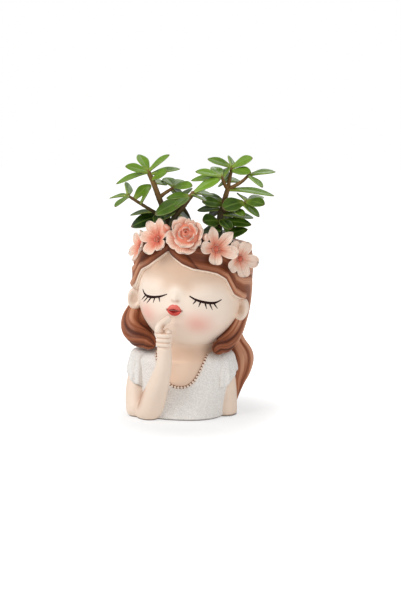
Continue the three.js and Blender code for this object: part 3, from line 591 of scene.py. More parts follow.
def makeEar(s, sign):
    piece, turn, rise = ball("ear_" + ("left" if sign > 0 else "right"), s["around"], s["up"])
    level = -np.cos(np.pi * rise)
    ringShare = np.sin(np.pi * rise)
    out = ringShare * np.cos(turn) * (1 + 0.16 * level)
    fore = ringShare * np.sin(turn)
    facing = smooth(0.1, -0.6, fore)
    rim = np.hypot(out + 0.05, level)
    dip = facing * s["hollow"] * (1 - smooth(0.25, 0.65, rim))
    x = sign * (s["across"][sign] + s["out"][sign] * out)
    y = s["back"] + s["thick"] * fore + dip - 1.0 * facing * bell(rim - 0.85, 0.16)
    z = s["height"][sign] + s["tall"][sign] * level
    y = y - 0.25 * s["out"][sign] * out
    setVerts(piece, onHead(xyz(x, y, z)))
    if sign < 0:
        piece.data.flip_normals()
    # tan paint and painted shade in the hollow of the ear
    store(piece, warm=s["warm"][sign] * (0.15 + 0.55 * facing * (1 - smooth(0.15, 0.6, rim))))
    store(piece, shade=0.12 * facing * (1 - smooth(0.1, 0.5, rim)))
    return piece


lipSet = dict(
    halfWidth=7.4, fullness=0.78, upper=4.6, lower=4.5, upperRise=1.4, lowerRise=1.7,
    sunk=0.25, thick=0.9, line=0.42,
)


def makeLips(s):
    piece = addMesh("grid", "lips", x_subdivisions=72, y_subdivisions=56, size=2)
    co = readVerts(piece)
    a, b = co[:, 0], co[:, 1]
    full = np.clip(1 - np.abs(a / s["fullness"]) ** 2, 0, 1)
    corner = np.clip(1 - np.abs(a) ** 1.6, 0, 1)
    bow = 0.5 * bell(a, 0.13)
    top = s["upper"] * full**0.75 + s["line"] * (1 - np.abs(a) ** 4) - bow
    bottom = -s["lower"] * full**0.7 - s["line"] * (1 - np.abs(a) ** 4)
    x = faceSet["mouth"][0] + s["halfWidth"] * a
    z = faceSet["mouth"][1] + np.where(b > 0, b * top, -b * bottom) + 0.35 * a
    rise = np.where(b > 0, s["upperRise"], s["lowerRise"]) * np.sin(np.pi * np.abs(b) ** 0.75) ** 0.8
    parting = np.clip(1 - np.abs(a) / 0.6, 0, 1)
    dark = smooth(0.42, 0.18, np.abs(b) / np.maximum(parting, 1e-3) ** 0.8 * 0.8) * (parting > 0)
    seam = np.abs(b) * np.where(b > 0, top, -bottom)
    dark = np.maximum(dark, 0.85 * smooth(0.75, 0.3, seam / s["line"]))
    edge = smooth(0.9, 1, np.maximum(np.abs(b), np.abs(a)))
    lift = rise * corner**0.5 - s["sunk"] * edge - 0.3 * dark
    setVerts(piece, onHead(onFace(x, z, lift)[0]))
    store(piece, dark=dark, lower=(b < 0) * 1.0)
    applyModifier(piece, "SOLIDIFY", thickness=s["thick"] * mm, offset=-1)
    return piece


lashSet = dict(
    lines=[
        [(-33.2, 0.3), (-31, -2.2), (-27.6, -3.6), (-21.6, -3.0), (-14.6, -0.9), (-9.2, 1.8)],
        [(9.5, 3.0), (14.2, 0.9), (19.8, -0.5), (25.8, -1.1), (29.4, -0.3), (32.4, 1.8)],
    ],
    lashes=[
        [(-29.3, -3.4), (-34, -8.9)], [(-26.5, -3.9), (-31.2, -9.8)], [(-23.2, -3.8), (-27.3, -9.7)],
        [(-19.6, -2.6), (-20.7, -7.6)], [(-15.9, -1.4), (-14.9, -5.6)],
        [(14.8, 0.4), (12.6, -3.2)], [(18.2, -0.4), (17, -5)], [(21.2, -0.9), (23, -6.1)],
        [(24.5, -1.2), (27, -6.8)], [(27.3, -0.9), (30.4, -5.6)],
    ],
    lineRadii=[0.525, 1.05, 1.05, 0.3675], lashRadii=[0.48, 0.6, 0.42, 0.18], lift=0.02, flat=0.4,
)


def makeLashes(s):
    strokes = [(points, s["lineRadii"]) for points in s["lines"]]
    strokes += [(points, s["lashRadii"]) for points in s["lashes"]]
    made = []
    for points, radii in strokes:
        places = along(points, np.linspace(0, 1, 12))
        place, out = onFace(places[:, 0], places[:, 1], np.full(12, s["lift"]))
        place = onHead(place)
        side = np.cross(out @ headTurn.T, unit(np.gradient(place, axis=0)))
        made.append(limb("stroke", place, radii, side, s["flat"], around=12, cap=0.05)[0])
    return joinPieces("lashes", made)


skin = skinPaint()
finishPiece(makeHead(headSet), "pot", skin, "skin", "bust_shell")
for sign in (-1, 1):
    finishPiece(makeEar(earSet, sign), "pot", skin, "skin", "bust_shell")
finishPiece(makeLips(lipSet), "pot", lipPaint(), "skin", "bust_shell")
lashPaint = mottledPaint("lash_paint", 0.7, 0.15, 800, (30, 12, 9), (50, 23, 17))
finishPiece(makeLashes(lashSet), "pot", lashPaint, "skin", "bust_shell")
print("head done")

# Hair: a cap round the back and sides of the head with a swept fringe, two locks and a tail

hairSet = dict(
    hem=[  # bearing on the rim, then bearing and height of the hem below it, round from the back
        (-180, -180, -45), (-135, -132, -45), (-112, -104, -44), (-102, -95, -38), (-94, -92.5, -20),
        (-87, -91, -9), (-81, -86, -5), (-74, -75, -3), (-68, -64, 2), (-62, -59, 9), (-55, -54, 15),
        (-42, -41, 20.2), (-32, -31, 26), (-23.5, -22.5, 31.2), (-17.5, -17.3, 35), (-12, -11.5, 31.6),
        (1, 1.3, 26.4), (14, 13.6, 23.8), (28, 27.6, 23.2), (39.5, 39.5, 21.6), (50.5, 50.5, 17.6),
        (57.5, 56, 11.5), (65, 62, 5), (74, 72, 1.5), (82, 84, 0.5), (87, 90, -5), (94, 92.5, -20),
        (102, 95, -38), (112, 104, -44), (135, 132, -45), (180, 180, -45),
    ],
    parting=-17.3, fringe=4.2, side=7.2, leftSide=1.3, back=8.5, drop=78, edge=0.42, edgeRound=5.5,
    hemLine=1.6, clump=15, clumpDepth=1.5, strand=3.9, strandDepth=0.3, fringeShade=0.48, wave=5,
    seamDepth=1.1, overlapRise=1.2, overlapDip=0.8, settle=0.5, sunk=0.6, hemRound=0.105,
    around=480, section=200, ends=(0.72, 0.77, 0.9),
)


def hairPaint():
    material, surface, wire = newPaint("painted_hair", 0.42, 0.3)
    flow = attribute(wire, "flow")
    run = attribute(wire, "run")
    lines = wire.add("CombineXYZ", {}, {0: flow * 0.55, 1: run * 0.03, 2: 0.0})
    streak, broad = noise(wire, 1.0, place=lines), noise(wire, 0.3, place=lines)
    ridges = attribute(wire, "ridge") + 0.26 * (streak - 0.5) + 0.5 * (broad - 0.5)
    # dark in the grooves and light on the crests: dry-brushed paint, with painted shade and painted
    # highlight
    colour = rampTints(
        ridges, (0, (82, 34, 13)), (0.4, (128, 68, 38)), (0.75, (166, 102, 70)), (1, (206, 150, 118)),
    )
    colour = layered(colour, (attribute(wire, "skinEdge"), (248, 226, 206)))
    coat(surface, colour, bump(streak, 0.1), 0.36 + 0.2 * streak)
    return material


def strandRelief(flow, run, s, fine):  # depth of the grooves, and 0 to 1 from groove to crest
    uneven = flow + 2.2 * np.sin(0.31 * flow)
    clump = softRidge(uneven / s["clump"] + 0.02 * np.sin(0.07 * run))
    strand = mixed(0.8, ridge((uneven + 1.1 * np.sin(0.09 * run + 0.37 * flow)) / s["strand"]), fine)
    depth = s["clumpDepth"] * (1 - clump) + s["strandDepth"] * (1 - strand) * clump
    return depth, 0.3 + 0.5 * smooth(0.05, 0.7, clump) + 0.2 * strand


def makeHairCap(s):
    piece, turn, q = hoop("hair_shell", s["around"], s["section"])
    rimBearing = np.degrees(turn) + 90
    rimBearing = (rimBearing + 180) % 360 - 180
    hem = np.array(s["hem"], float)
    steps = np.linspace(-180, 180, 721)
    hemBearing = np.interp(steps, hem[:, 0], hem[:, 1])
    hemHeight = np.interp(steps, hem[:, 0], hem[:, 2])
    hemBearing = np.interp(rimBearing, steps, softened(hemBearing, 11, "edge"))
    hemHeight = np.interp(rimBearing, steps, softened(hemHeight, 11, "edge"))
    outerEnd, topEnd, innerEnd = s["ends"]
    e, across = wallShares(q, *s["ends"])
    bearing = mixed(hemBearing, rimBearing, e)
    z = mixed(hemHeight, headSet["rim"], e)
    angle = np.radians(bearing)
    toFront = np.cos(angle)
    full = np.where(
        toFront > 0,
        mixed(s["side"], s["fringe"], smooth(0.1, 0.9, toFront)),
        mixed(s["side"], s["back"], -toFront),
    ) + s["leftSide"] * np.clip(-np.sin(angle), 0, 1) ** 3
    above = e * np.hypot(headSet["rim"] - hemHeight, 0.7 * (rimBearing - hemBearing))
    rounded = np.sqrt(np.clip(1 - (1 - ramp(0, s["edgeRound"], above)) ** 2, 0, 1))
    thick = full * mixed(s["edge"], 1, rounded)
    # strands leave the parting along the fringe and turn down at the sides
    spread = np.abs(bearing)
    behind = smooth(96, 118, spread) * smooth(180, 158, spread)
    spread = spread + s["wave"] * np.sin(0.075 * z + 0.03 * spread) * behind
    frontHem = np.interp(np.clip(bearing, -74, 76), hem[:, 1], hem[:, 2])
    lift = np.clip(z - frontHem, -20, 60)
    level = 74 + 1.5 * lift
    flow = 0.5 * (spread + level + np.sqrt((spread - level) ** 2 + 90))
    depth, crest = strandRelief(flow, z, s, smooth(112, 92, np.abs(bearing)))
    seam = bell(bearing - s["parting"] - 0.5 * np.clip(z - 35, 0, 9), 1.6) * smooth(30, 36, z)
    past = bearing - 4 - 1.35 * np.clip(37 - z, -10, 20)  # past the edge of the strand over the fringe
    step = smooth(-0.6, 0.6, past) * smooth(32, 6, past) * smooth(21, 26, z) * smooth(45, 40, z)
    valley = bell(past + 1.2, 1.8) * smooth(21, 26, z)
    grow = thick - (depth + s["seamDepth"] * seam) * smooth(0, 0.35, rounded) - s["settle"]
    grow = grow + s["overlapRise"] * step - s["overlapDip"] * valley
    # darker in the parting and in the valley beside the overlapping strand, lighter on its raised edge:
    # painted shade and painted highlight
    crest = crest * (1 - 0.8 * seam) * (1 - 0.75 * valley) + 0.12 * step
    crest = crest * (1 - s["fringeShade"] * smooth(62, 40, np.abs(bearing)) * smooth(18, 30, z))
    share = np.where(z < 0, np.sqrt(1 - (z / s["drop"]) ** 2), headShare(z))
    width = (headSet["halfWidth"] + grow) * share
    reach = (headSet["halfDepth"] + grow) * share
    outer = xyz(width * np.sin(angle), -reach * np.cos(angle), z)
    headWidth = headSet["halfWidth"] * headShare(z) - s["sunk"]
    headReach = headSet["halfDepth"] * headShare(z) - s["sunk"]
    inner = xyz(headWidth * np.sin(angle), -headReach * np.cos(angle), z)
    co = mixed(outer, inner, across[:, None])
    co[:, 2] -= s["hemRound"] * full * (q > innerEnd) * np.sin(np.pi * across)
    setVerts(piece, onHead(co))
    store(piece, flow=flow, run=z + 0.3 * bearing, ridge=crest)
    faceSide = smooth(86, 70, np.abs(bearing))
    hemLine = np.where(q < outerEnd, smooth(s["hemLine"], 0.6 * s["hemLine"], above), across > 0.05)
    store(piece, skinEdge=faceSide * np.where((q > outerEnd) & (q < topEnd), 0, hemLine))
    return piece


lockSet = dict(
    clumps=5, clumpFlow=13, depth=0.13, strands=12, strandDepth=0.025, flat=0.8,
    around=150, up=170, length=60,
    right=dict(
        path=[(-44, 10, -8), (-46, 4, -20), (-45.3, -4, -32.5), (-38, -10.5, -41), (-26.5, -15.5, -45)],
        radii=[3.5, 6.8, 11, 11.8, 7.6], side=(-0.8, -0.6, 0), twist=0.7, tone=(0.16, -0.38),
    ),
    left=dict(
        path=[(43.5, 11, 4), (41.5, 5, -13), (39, -4, -28), (35.5, -10.5, -37), (31.5, -14, -41.5)],
        radii=[4.5, 7.6, 8.8, 8.8, 6.2], side=(0.8, -0.6, 0), twist=-0.7, tone=(0.1, -0.42),
    ),
    tail=dict(
        path=[(32, 15, 94), (35.5, 19, 79), (37.5, 19.5, 66), (42, 18, 56), (47, 16, 46),
              (46.5, 14, 36), (43.5, 12, 26), (42.5, 10.5, 17), (42.5, 10, 9)],
        radii=[6, 7.6, 7.8, 8.3, 9.8, 8.8, 6.8, 4, 1], side=(1, 0, 0), twist=0.6, tone=(0.28, -0.06),
    ),
)


def lockStrands(s, twist, turn, t):  # place round a twisted bundle, its clumps and its strands
    about = turn / (2 * np.pi) + 0.5 * twist * signedPower(t - 0.35, 2) + 0.12 * twist * t
    clump = ridge(s["clumps"] * about + 0.15 * np.sin(5 * t))
    return about, clump, ridge(s["strands"] * about)


def makeLock(name, s, one, place):
    def swell(turn, t):
        about, clump, strand = lockStrands(s, one["twist"], turn, t)
        return 1 - s["depth"] * (1 - clump) - s["strandDepth"] * (1 - strand)

    points = place(np.array(one["path"], float))
    size = dict(flat=s["flat"], around=s["around"], up=s["up"], cap=0.08)
    piece, turn, t = limb(name, points, one["radii"], one["side"], swell=swell, **size)
    about, clump, strand = lockStrands(s, one["twist"], turn, t)
    flow = s["clumps"] * s["clumpFlow"] * np.abs(about % 1 - 0.5) * 2
    crest = 0.68 * clump + 0.32 * strand + mixed(*one["tone"], smooth(0.25, 0.85, t))
    store(piece, flow=flow, run=t * s["length"], ridge=crest)
    return piece


hair = hairPaint()
finishPiece(makeHairCap(hairSet), "pot", hair, "hair", "hair_cap")
for name, lock, place, node in (
    ("hair_lock_a", "right", onHead, "hair_lock_right"),
    ("hair_lock_b", "left", onHead, "hair_lock_left"),
    ("hair_tail_long", "tail", np.asarray, "hair_tail"),
):
    finishPiece(makeLock(name, lockSet, lockSet[lock], place), "pot", hair, "hair", node)
print("hair done")

# Bust: neck, chest and hollow base under the dress

torsoSet = dict(
    baseWidth=35, baseDepth=30, chestWidth=40, chestDepth=22.5, shoulder=44.5, top=56, square=2.4,
    sides=0.75, footRound=1.3, footHeight=1.6, dress=2.6, gap=0.3, neck=18, neckBack=3, neckFlare=8,
    neckStart=0.84, neckSink=12, neckRise=4, neckSwell=2.2, drain=6, drainBack=13, flange=9.8,
    flangeDepth=3.5, hollow=20, around=180, up=190,
)


def footPull(z):  # how far the edge that stands on the ground is rounded off
    return torsoSet["footRound"] * smooth(torsoSet["footHeight"], 0, z) ** 1.5


def torsoRing(z, lift, inset):  # half the width and depth of the torso
    b = torsoSet
    grow = smooth(0, b["shoulder"], z)
    share = np.sqrt(1 - (0.95 * lift) ** 2)
    width = (mixed(b["baseWidth"], b["chestWidth"], grow) - inset) * share
    return width, (mixed(b["baseDepth"], b["chestDepth"], grow) - inset) * share


def torsoPlace(turn, share, inset):  # share goes up the sides, then to 1 over the shoulders
    b = torsoSet
    z = b["shoulder"] * ramp(0, b["sides"], share)
    lift = ramp(b["sides"], 1, share)
    width, depth = torsoRing(z, lift, inset)
    power = 2 / b["square"]
    z = z + (b["top"] - b["shoulder"] - inset) * lift
    x, y = width * signedPower(np.cos(turn), power), depth * signedPower(np.sin(turn), power)
    return xyz(x, y, z)


def makeBust(b):
    piece, turn, rise = ball("bust_core", b["around"], b["up"])
    circle = polar(1, turn, 0 * turn)
    drain = np.array([0, b["drainBack"], 0])
    roof, ledge = drain + (0, 0, b["hollow"]), drain + (0, 0, b["flangeDepth"])
    neckTop = onHead((0, b["neckBack"], headSet["rim"] - headSet["cupDepth"] - b["neckSink"]))
    neckFoot = np.array([0, b["neckBack"], b["shoulder"] + b["neckRise"]])
    inset = b["dress"] + b["gap"]
    foot = torsoPlace(turn, 0 * turn, inset)
    shoulder = torsoPlace(turn, np.full_like(turn, b["neckStart"]), inset)
    base, collar, neckEnd = 0.18, 0.72, 0.97  # where the mesh's rows end for underside, torso and neck
    stations = [  # share of the way from the drain's roof, and the ring there
        (0.0, roof), (0.03, roof + b["drain"] * circle), (0.07, ledge + b["drain"] * circle),
        (0.09, ledge + b["flange"] * circle), (0.12, drain + b["flange"] * circle), (base, foot),
    ]
    co = np.zeros((len(turn), 3)) + stations[0][1]
    for (start, before), (end, after) in zip(stations, stations[1:]):
        t = ramp(start, end, rise)[:, None]
        co = np.where((rise >= start - 1e-9)[:, None], mixed(before, after, t), co)
    t = ramp(base, collar, rise)
    co = np.where((rise > base)[:, None], torsoPlace(turn, b["neckStart"] * t, inset), co)
    t = ramp(collar, neckEnd, rise)[:, None]
    radius = mixed(b["neck"] + b["neckSwell"], b["neck"], t) + b["neckFlare"] * t**2
    neck = mixed(neckFoot, neckTop, t) + radius * circle
    flare = (1 - smooth(0, 0.85, t)) ** 1.6
    co = np.where((rise > collar)[:, None], mixed(neck, shoulder, flare), co)
    t = ramp(neckEnd, 1, rise)[:, None]
    lid = neckTop + (b["neck"] + b["neckFlare"]) * (1 - t) * circle
    co = np.where((rise > neckEnd)[:, None], lid, co)
    setVerts(piece, co)
    z = co[:, 2]
    # tan paint with painted shade over the chest, lighter up the neck; painted shade where the neck meets
    # the chest
    warm = 0.6 + 0.15 * smooth(40, 54, z) - 0.3 * smooth(55, 64, z)
    store(piece, warm=warm, shade=0.1 * smooth(44, 52, z) * smooth(64, 56, z))
    return piece


# Dress: a grainy shell with a deep round neckline, cap sleeves and a string of beads

dressSet = dict(
    necklineWidth=24, necklineBottom=25, necklineCurve=2.6, top=0.985, pleats=15, pleatDepth=0.28,
    around=260, section=150, ends=(0.55, 0.62, 0.95),
    bead=1.15, beadPitch=2.7, beadGap=0.1, beadShadow=1.25, beadTop=3,  # the row ends below the straps' tops
    sleeve=dict(
        across={1: 34, -1: 35.5}, height=39, out={1: 9.6, -1: 11.3}, deep=15.6, tall=14.6, tuck=0.3,
        flare=0.1, ruffles=11, ruffleDepth=0.7, around=150, up=90,
    ),
)


def dressPaint():
    material, surface, wire = newPaint("grainy_dress", 0.85, 0.25)
    grain = noise(wire, 1050, 3)
    inputs = {"Vector": objectPlace(wire), "Scale": 780.0}
    lumps = wire.add("TexVoronoi", {"feature": "SMOOTH_F1"}, inputs, "Distance")
    colour = layered(
        (226, 221, 216), (fade(grain, 0.35, 0.65), (243, 240, 235)),
        (0.35 * fade(noise(wire, 55), 0.45, 0.75), (226, 221, 214)),
    )
    coat(surface, contactShadow(colour), bump(grain - 0.7 * lumps, 0.36))
    return material


def necklineHeight(x):
    s = dressSet
    curve = np.abs(x / s["necklineWidth"]) ** s["necklineCurve"]
    return mixed(s["necklineBottom"], torsoSet["top"], np.minimum(curve, 1.2))


def dressHem(turn):  # how far up the torso the dress reaches, for each bearing round it
    steps = np.linspace(0, 1, 401)
    ends = []
    for angle in turn:
        x, y, z = torsoPlace(np.full_like(steps, angle), steps, 0).T
        bare = (y < 0) & (np.abs(x) < dressSet["necklineWidth"]) & (z > necklineHeight(x))
        ends.append(steps[np.argmax(bare)] if bare.any() else dressSet["top"])
    return np.array(ends)


def makeDress(s):
    piece, turn, q = hoop("dress_body", s["around"], s["section"])
    angles = np.linspace(-np.pi, np.pi, 721)
    hem = np.interp(turn, angles, softened(dressHem(angles), 9, "wrap"))
    outerEnd, topEnd = s["ends"][:2]
    e, across = wallShares(q, *s["ends"])
    outside = across < 0.5
    edgeRound = 0.36 * (1 - smooth(0, 0.03, 1 - e)) * outside
    front = smooth(0.1, -0.5, np.sin(turn))
    folds = ridge(s["pleats"] * turn / np.pi + 0.25 * np.sin(9 * e))
    pleat = s["pleatDepth"] * (1 - folds) * front * smooth(1, 0.7, e)
    foot = footPull(torsoSet["shoulder"] * hem * e / torsoSet["sides"])
    inset = torsoSet["dress"] * across + edgeRound + (pleat + foot) * outside
    co = torsoPlace(turn, hem * e, inset)
    co[:, 2] += np.where((q > outerEnd) & (q < topEnd), 0.5 * np.sin(np.pi * across), 0)
    setVerts(piece, co)
    return piece


def makeSleeve(s, sign):
    piece, turn, rise = ball("sleeve_" + ("left" if sign > 0 else "right"), s["around"], s["up"])
    outward, fore = np.cos(turn), np.sin(turn)
    hem = -1.5 - 11.5 * np.abs(fore) ** 1.5 - 9 * np.clip(-outward, 0, 1)  # highest outside
    inner = rise < s["tuck"]  # the lining, turned in under the hem
    tucked = rise / s["tuck"]
    t = ramp(s["tuck"], 1, rise)
    wave = np.sin(s["ruffles"] * turn) * (1 - t) ** 2
    lining = np.minimum(0.5 + 0.5 * smooth(0, 1, tucked), 3 * tucked)
    spread = np.where(inner, lining, np.cos(t * np.pi / 2) ** 0.4)
    top = mixed(hem, s["tall"], np.sin(t * np.pi / 2) ** 0.8)
    height = np.where(inner, hem + 3.5 * (1 - smooth(0.3, 1, tucked)), top)
    flare = 1 + s["flare"] * (1 - smooth(0, 0.35, t)) * ~inner
    ruffle = s["ruffleDepth"] * wave
    x = sign * (s["across"][sign] + (s["out"][sign] * flare + ruffle) * spread * outward)
    y = (s["deep"] * flare + ruffle) * spread * fore
    setVerts(piece, xyz(x, y, s["height"] + height + 0.5 * wave))
    if sign < 0:
        piece.data.flip_normals()
    return piece


def necklinePoints(count, inset):
    reach = dressSet["necklineWidth"] - inset
    x = reach * np.sin(np.linspace(-1, 1, count) * np.pi / 2)
    z = necklineHeight(x * dressSet["necklineWidth"] / reach) + inset
    b = torsoSet
    keep = z < b["top"] - dressSet["beadTop"]
    x, z = x[keep], z[keep]
    width, depth = torsoRing(z, ramp(b["shoulder"], b["top"], z), 0)
    y = -depth * (1 - np.abs(x / width) ** b["square"]) ** (1 / b["square"])
    return xyz(x, y, z)


def makeBeads(s):
    path = necklinePoints(160, s["bead"] + s["beadGap"])
    path[:, 1] += torsoSet["dress"] - 0.4 * s["bead"]
    way = runLength(path)
    beads = []
    for reach in np.arange(0, way[-1], s["beadPitch"]):
        at = [np.interp(reach, way, path[:, i]) * mm for i in range(3)]
        beads.append(addMesh("ico_sphere", "bead", subdivisions=2, radius=s["bead"] * mm, location=at))
        bpy.ops.object.transform_apply(location=True)
    return joinPieces("neckline_bead_row", beads)


def makeBeadShadow(s):  # a dark strip that the beads sit on: painted shadow under and between them
    path = necklinePoints(60, s["bead"] + s["beadGap"])
    path[:, 1] += torsoSet["dress"] - 0.1
    radii = [s["beadShadow"]] * 2
    return limb("neckline_shadow", path, radii, (0, 0, 1), 0.5, around=16, up=160, cap=0.01)[0]


# Arms: one hangs at the side, the other leans on its elbow with a finger under the lips

armSet = dict(
    upper=dict(
        path=[(-36, 4, 42), (-38, -2, 30), (-38.3, -9, 17), (-36.2, -15, 6)],
        radii=[8.2, 9.2, 9.6, 10.2],
    ),
    fore=dict(
        path=[(-26.5, -21, 3.5), (-24, -26, 10), (-17.6, -33, 26), (-11.6, -40, 42), (-9, -44, 53),
              (-8.7, -45.5, 63)],
        radii=[10.5, 10.8, 9.3, 7.2, 6.1, 5.9],
    ),
    left=dict(
        path=[(33.5, 3, 42), (34.4, 1.5, 30), (34.8, 0, 14), (34.6, -1, -6)], radii=[7, 8.6, 9.6, 10],
    ),
    crease=[(-28, 27), (-34, 9)], creaseWidth=1, creaseDepth=1,  # the fold's ends: across, height
    voxel=0.55, rounds=4,
)
handSet = dict(
    fist=(-8.8, -45.5, 70.3), palm=(6.2, 5.4, 8.6),
    index=[(-13, -46, 75.5), (-11.8, -48.2, 82), (-5.8, -42.4, 87)], indexRadii=[3.6, 3.3, 2.6],
    thumb=[(1.5, -1, 2.5), (4.2, -3.6, 6.2), (3.2, -4.2, 9)], thumbRadii=[3, 2.6, 1.9],  # from the fist
    foldHeights=(4.4, 0.9, -2.7), foldRadius=2.0,  # bent fingers, each across the palm by its shares
    foldPath=[(-0.75, -0.55, 0), (-0.2, -0.98, 0.2), (0.4, -0.95, 0), (0.75, -0.45, -0.3)],
    creaseHeights=(6.6, 2.75, -1, -4.9), voxel=0.4, rounds=3,
)


def flattenFoot(piece):  # stands the piece on the ground, with a small round at its edge
    co = readVerts(piece) / mm
    co[:, 2] = np.maximum(co[:, 2], 0)
    setVerts(piece, co)
    normals = np.empty(3 * len(co))
    piece.data.vertices.foreach_get("normal", normals)
    co[:, :2] -= footPull(co[:, 2])[:, None] * normals.reshape(-1, 3)[:, :2]
    setVerts(piece, co)


def makeRightArm(s):
    upper = limb("upper", s["upper"]["path"], s["upper"]["radii"], around=40, up=60)[0]
    fore = limb("fore", s["fore"]["path"], s["fore"]["radii"], (1, 0, 0), 0.95, around=40, up=70)[0]
    arm = fuse("arm_leaning", [upper, fore], s["voxel"], s["rounds"])
    flattenFoot(arm)
    co = readVerts(arm) / mm
    (x0, z0), (x1, z1) = s["crease"]
    beside = co[:, 0] - mixed(x0, x1, (co[:, 2] - z0) / (z1 - z0))
    ends = smooth(z1 - 4, z1 + 7, co[:, 2]) * smooth(z0 + 6, z0 - 2, co[:, 2]) * (co[:, 1] < 0)
    fold = bell(beside, s["creaseWidth"]) * ends
    co[:, 1] += s["creaseDepth"] * fold
    setVerts(arm, co)
    # tan paint and painted shade beside the fold, and painted shade in it
    soft = bell(beside, 3) * ends
    store(arm, warm=0.2 + 0.35 * soft, shade=0.15 * soft + 0.5 * fold)
    return arm


def makeLeftArm(s):
    arm = limb("arm_hanging", s["left"]["path"], s["left"]["radii"], around=64, up=80)[0]
    flattenFoot(arm)
    store(arm, warm=0.3)
    return arm


def makeHand(s):
    fist = np.array(s["fist"], float)
    palm, turn, rise = ball("palm", around=48, up=36)
    ring = np.sin(np.pi * rise)
    co = polar(ring, turn, -np.cos(np.pi * rise))
    setVerts(palm, fist + co * np.array(s["palm"]))
    pieces = [palm]
    wide, deep = s["palm"][:2]
    for height in s["foldHeights"]:
        path = [fist + (wide * x, deep * y, height + z) for x, y, z in s["foldPath"]]
        radii = [s["foldRadius"]] * len(path)
        pieces.append(limb("finger", path, radii, (0, 0, 1), 0.85, around=20, up=30)[0])
    pieces.append(limb("index", s["index"], s["indexRadii"])[0])
    pieces.append(limb("thumb", fist + s["thumb"], s["thumbRadii"], around=20, up=30)[0])
    hand = fuse("hand_pointing", pieces, s["voxel"], s["rounds"])
    co = readVerts(hand) / mm - fist
    # painted shade under the fingertip and in the creases between the fingers
    under = hill(co[:, 0], co[:, 2], (1.2, 11.2), (2.6, 2.6)) * smooth(-1, -5, co[:, 1])
    creases = sum(bell(co[:, 2] - height, 0.45) for height in s["creaseHeights"])
    creases = creases * smooth(-2.5, -4.5, co[:, 1])
    store(hand, warm=np.clip(0.12 + 0.7 * under + 0.55 * creases, 0, 1))
    store(hand, shade=np.clip(0.7 * under + 0.35 * creases, 0, 1))
    return hand


finishPiece(makeBust(torsoSet), "pot", skin, "skin", "bust_shell")
dress = dressPaint()
finishPiece(makeDress(dressSet), "pot", dress, "dress", "dress_shell")
for sign in (-1, 1):
    finishPiece(makeSleeve(dressSet["sleeve"], sign), "pot", dress, "dress", "dress_shell")
beadPaint = mottledPaint("bead_paint", 0.6, 0.4, 500, (228, 204, 182), (247, 236, 224))
finishPiece(makeBeads(dressSet), "pot", beadPaint, "beads", "neckline_beads")
# painted shadow under the beads
beadShadowPaint = mottledPaint("bead_shadow_paint", 0.7, 0.4, 600, (104, 58, 34), (146, 92, 62))
finishPiece(makeBeadShadow(dressSet), "pot", beadShadowPaint, "beads", "neckline_beads")
print("dress done")
finishPiece(makeRightArm(armSet), "pot", skin, "skin", "right_arm")
finishPiece(makeLeftArm(armSet), "pot", skin, "skin", "left_arm")
finishPiece(makeHand(handSet), "pot", skin, "skin", "right_hand")
print("arms done")

# Garland: five flowers and two buds on the hair below the rim. Petals lie round a flower's own axis,
# with directions in degrees from its right hand side, seen from the front.

garlandSet = dict(
    bearing=8, thick=1.5, widest=0.64, around=40, up=30,
    heartCups=[  # direction, share of the heart's size, top
        (80, 1, 0.7), (200, 0.95, 0.6), (-40, 0.9, 0.65), (20, 0.55, 1.1), (160, 0.5, 1.2),
    ],
)
# A share added to each flower's coral: its paint, with painted shade on the deeper flowers and painted
# light on the paler ones.
bloomSet = {  # seat: bearing, height over the rim, stand-off, way up, bearing it faces
    "crown_bloom_left_inner": dict(  # petal: direction, length, width, lift, tip
        seat=(-36, 0.5, 2, 25, -36), heart=2.2, tintAndShade=0.1,
        petals=[(94, 15.5, 9.5, 5.5, 0.5), (138, 16, 9, 5.5, 0.6), (182, 15.5, 9.5, 4.5, 0.8),
                (-104, 13.5, 12.5, 3, 1), (-32, 12.5, 10, 3.5, 0.9), (42, 12, 8.5, 5, 0.6)],
    ),
    "crown_bloom_right_inner": dict(
        seat=(26, -0.5, 2, 12, 24), heart=2.9, tintAndShade=-0.12,
        petals=[(109, 17.5, 8.5, 5, 0.15), (50, 17.5, 9.5, 5.5, 0.1), (-10, 17, 10.5, 4, 0.8),
                (-95, 12, 11, 3, 1), (177, 13, 10, 3.5, 0.9)],
    ),
    "crown_bloom_left_outer": dict(
        seat=(-60, -8, 2, 12, -64), heart=1.8, tintAndShade=0.05,
        petals=[(75, 12.5, 10, 4.5, 0.9), (150, 12.5, 10, 5, 0.9), (-142, 12.5, 10, 5, 0.9),
                (-70, 12.5, 10, 4.5, 0.9), (0, 11.5, 10, 4, 0.9)],
    ),
    "crown_bloom_right_outer": dict(
        seat=(53, -7.5, 2, 8, 38), heart=2.6, tintAndShade=-0.28,
        petals=[(73, 13.5, 12, 4, 1), (-10, 14.5, 10.5, 4, 1), (-78, 14, 11.5, 3.5, 1),
                (-142, 13.5, 10, 3.5, 1), (126, 16, 10, 4, 0.8)],
    ),
}
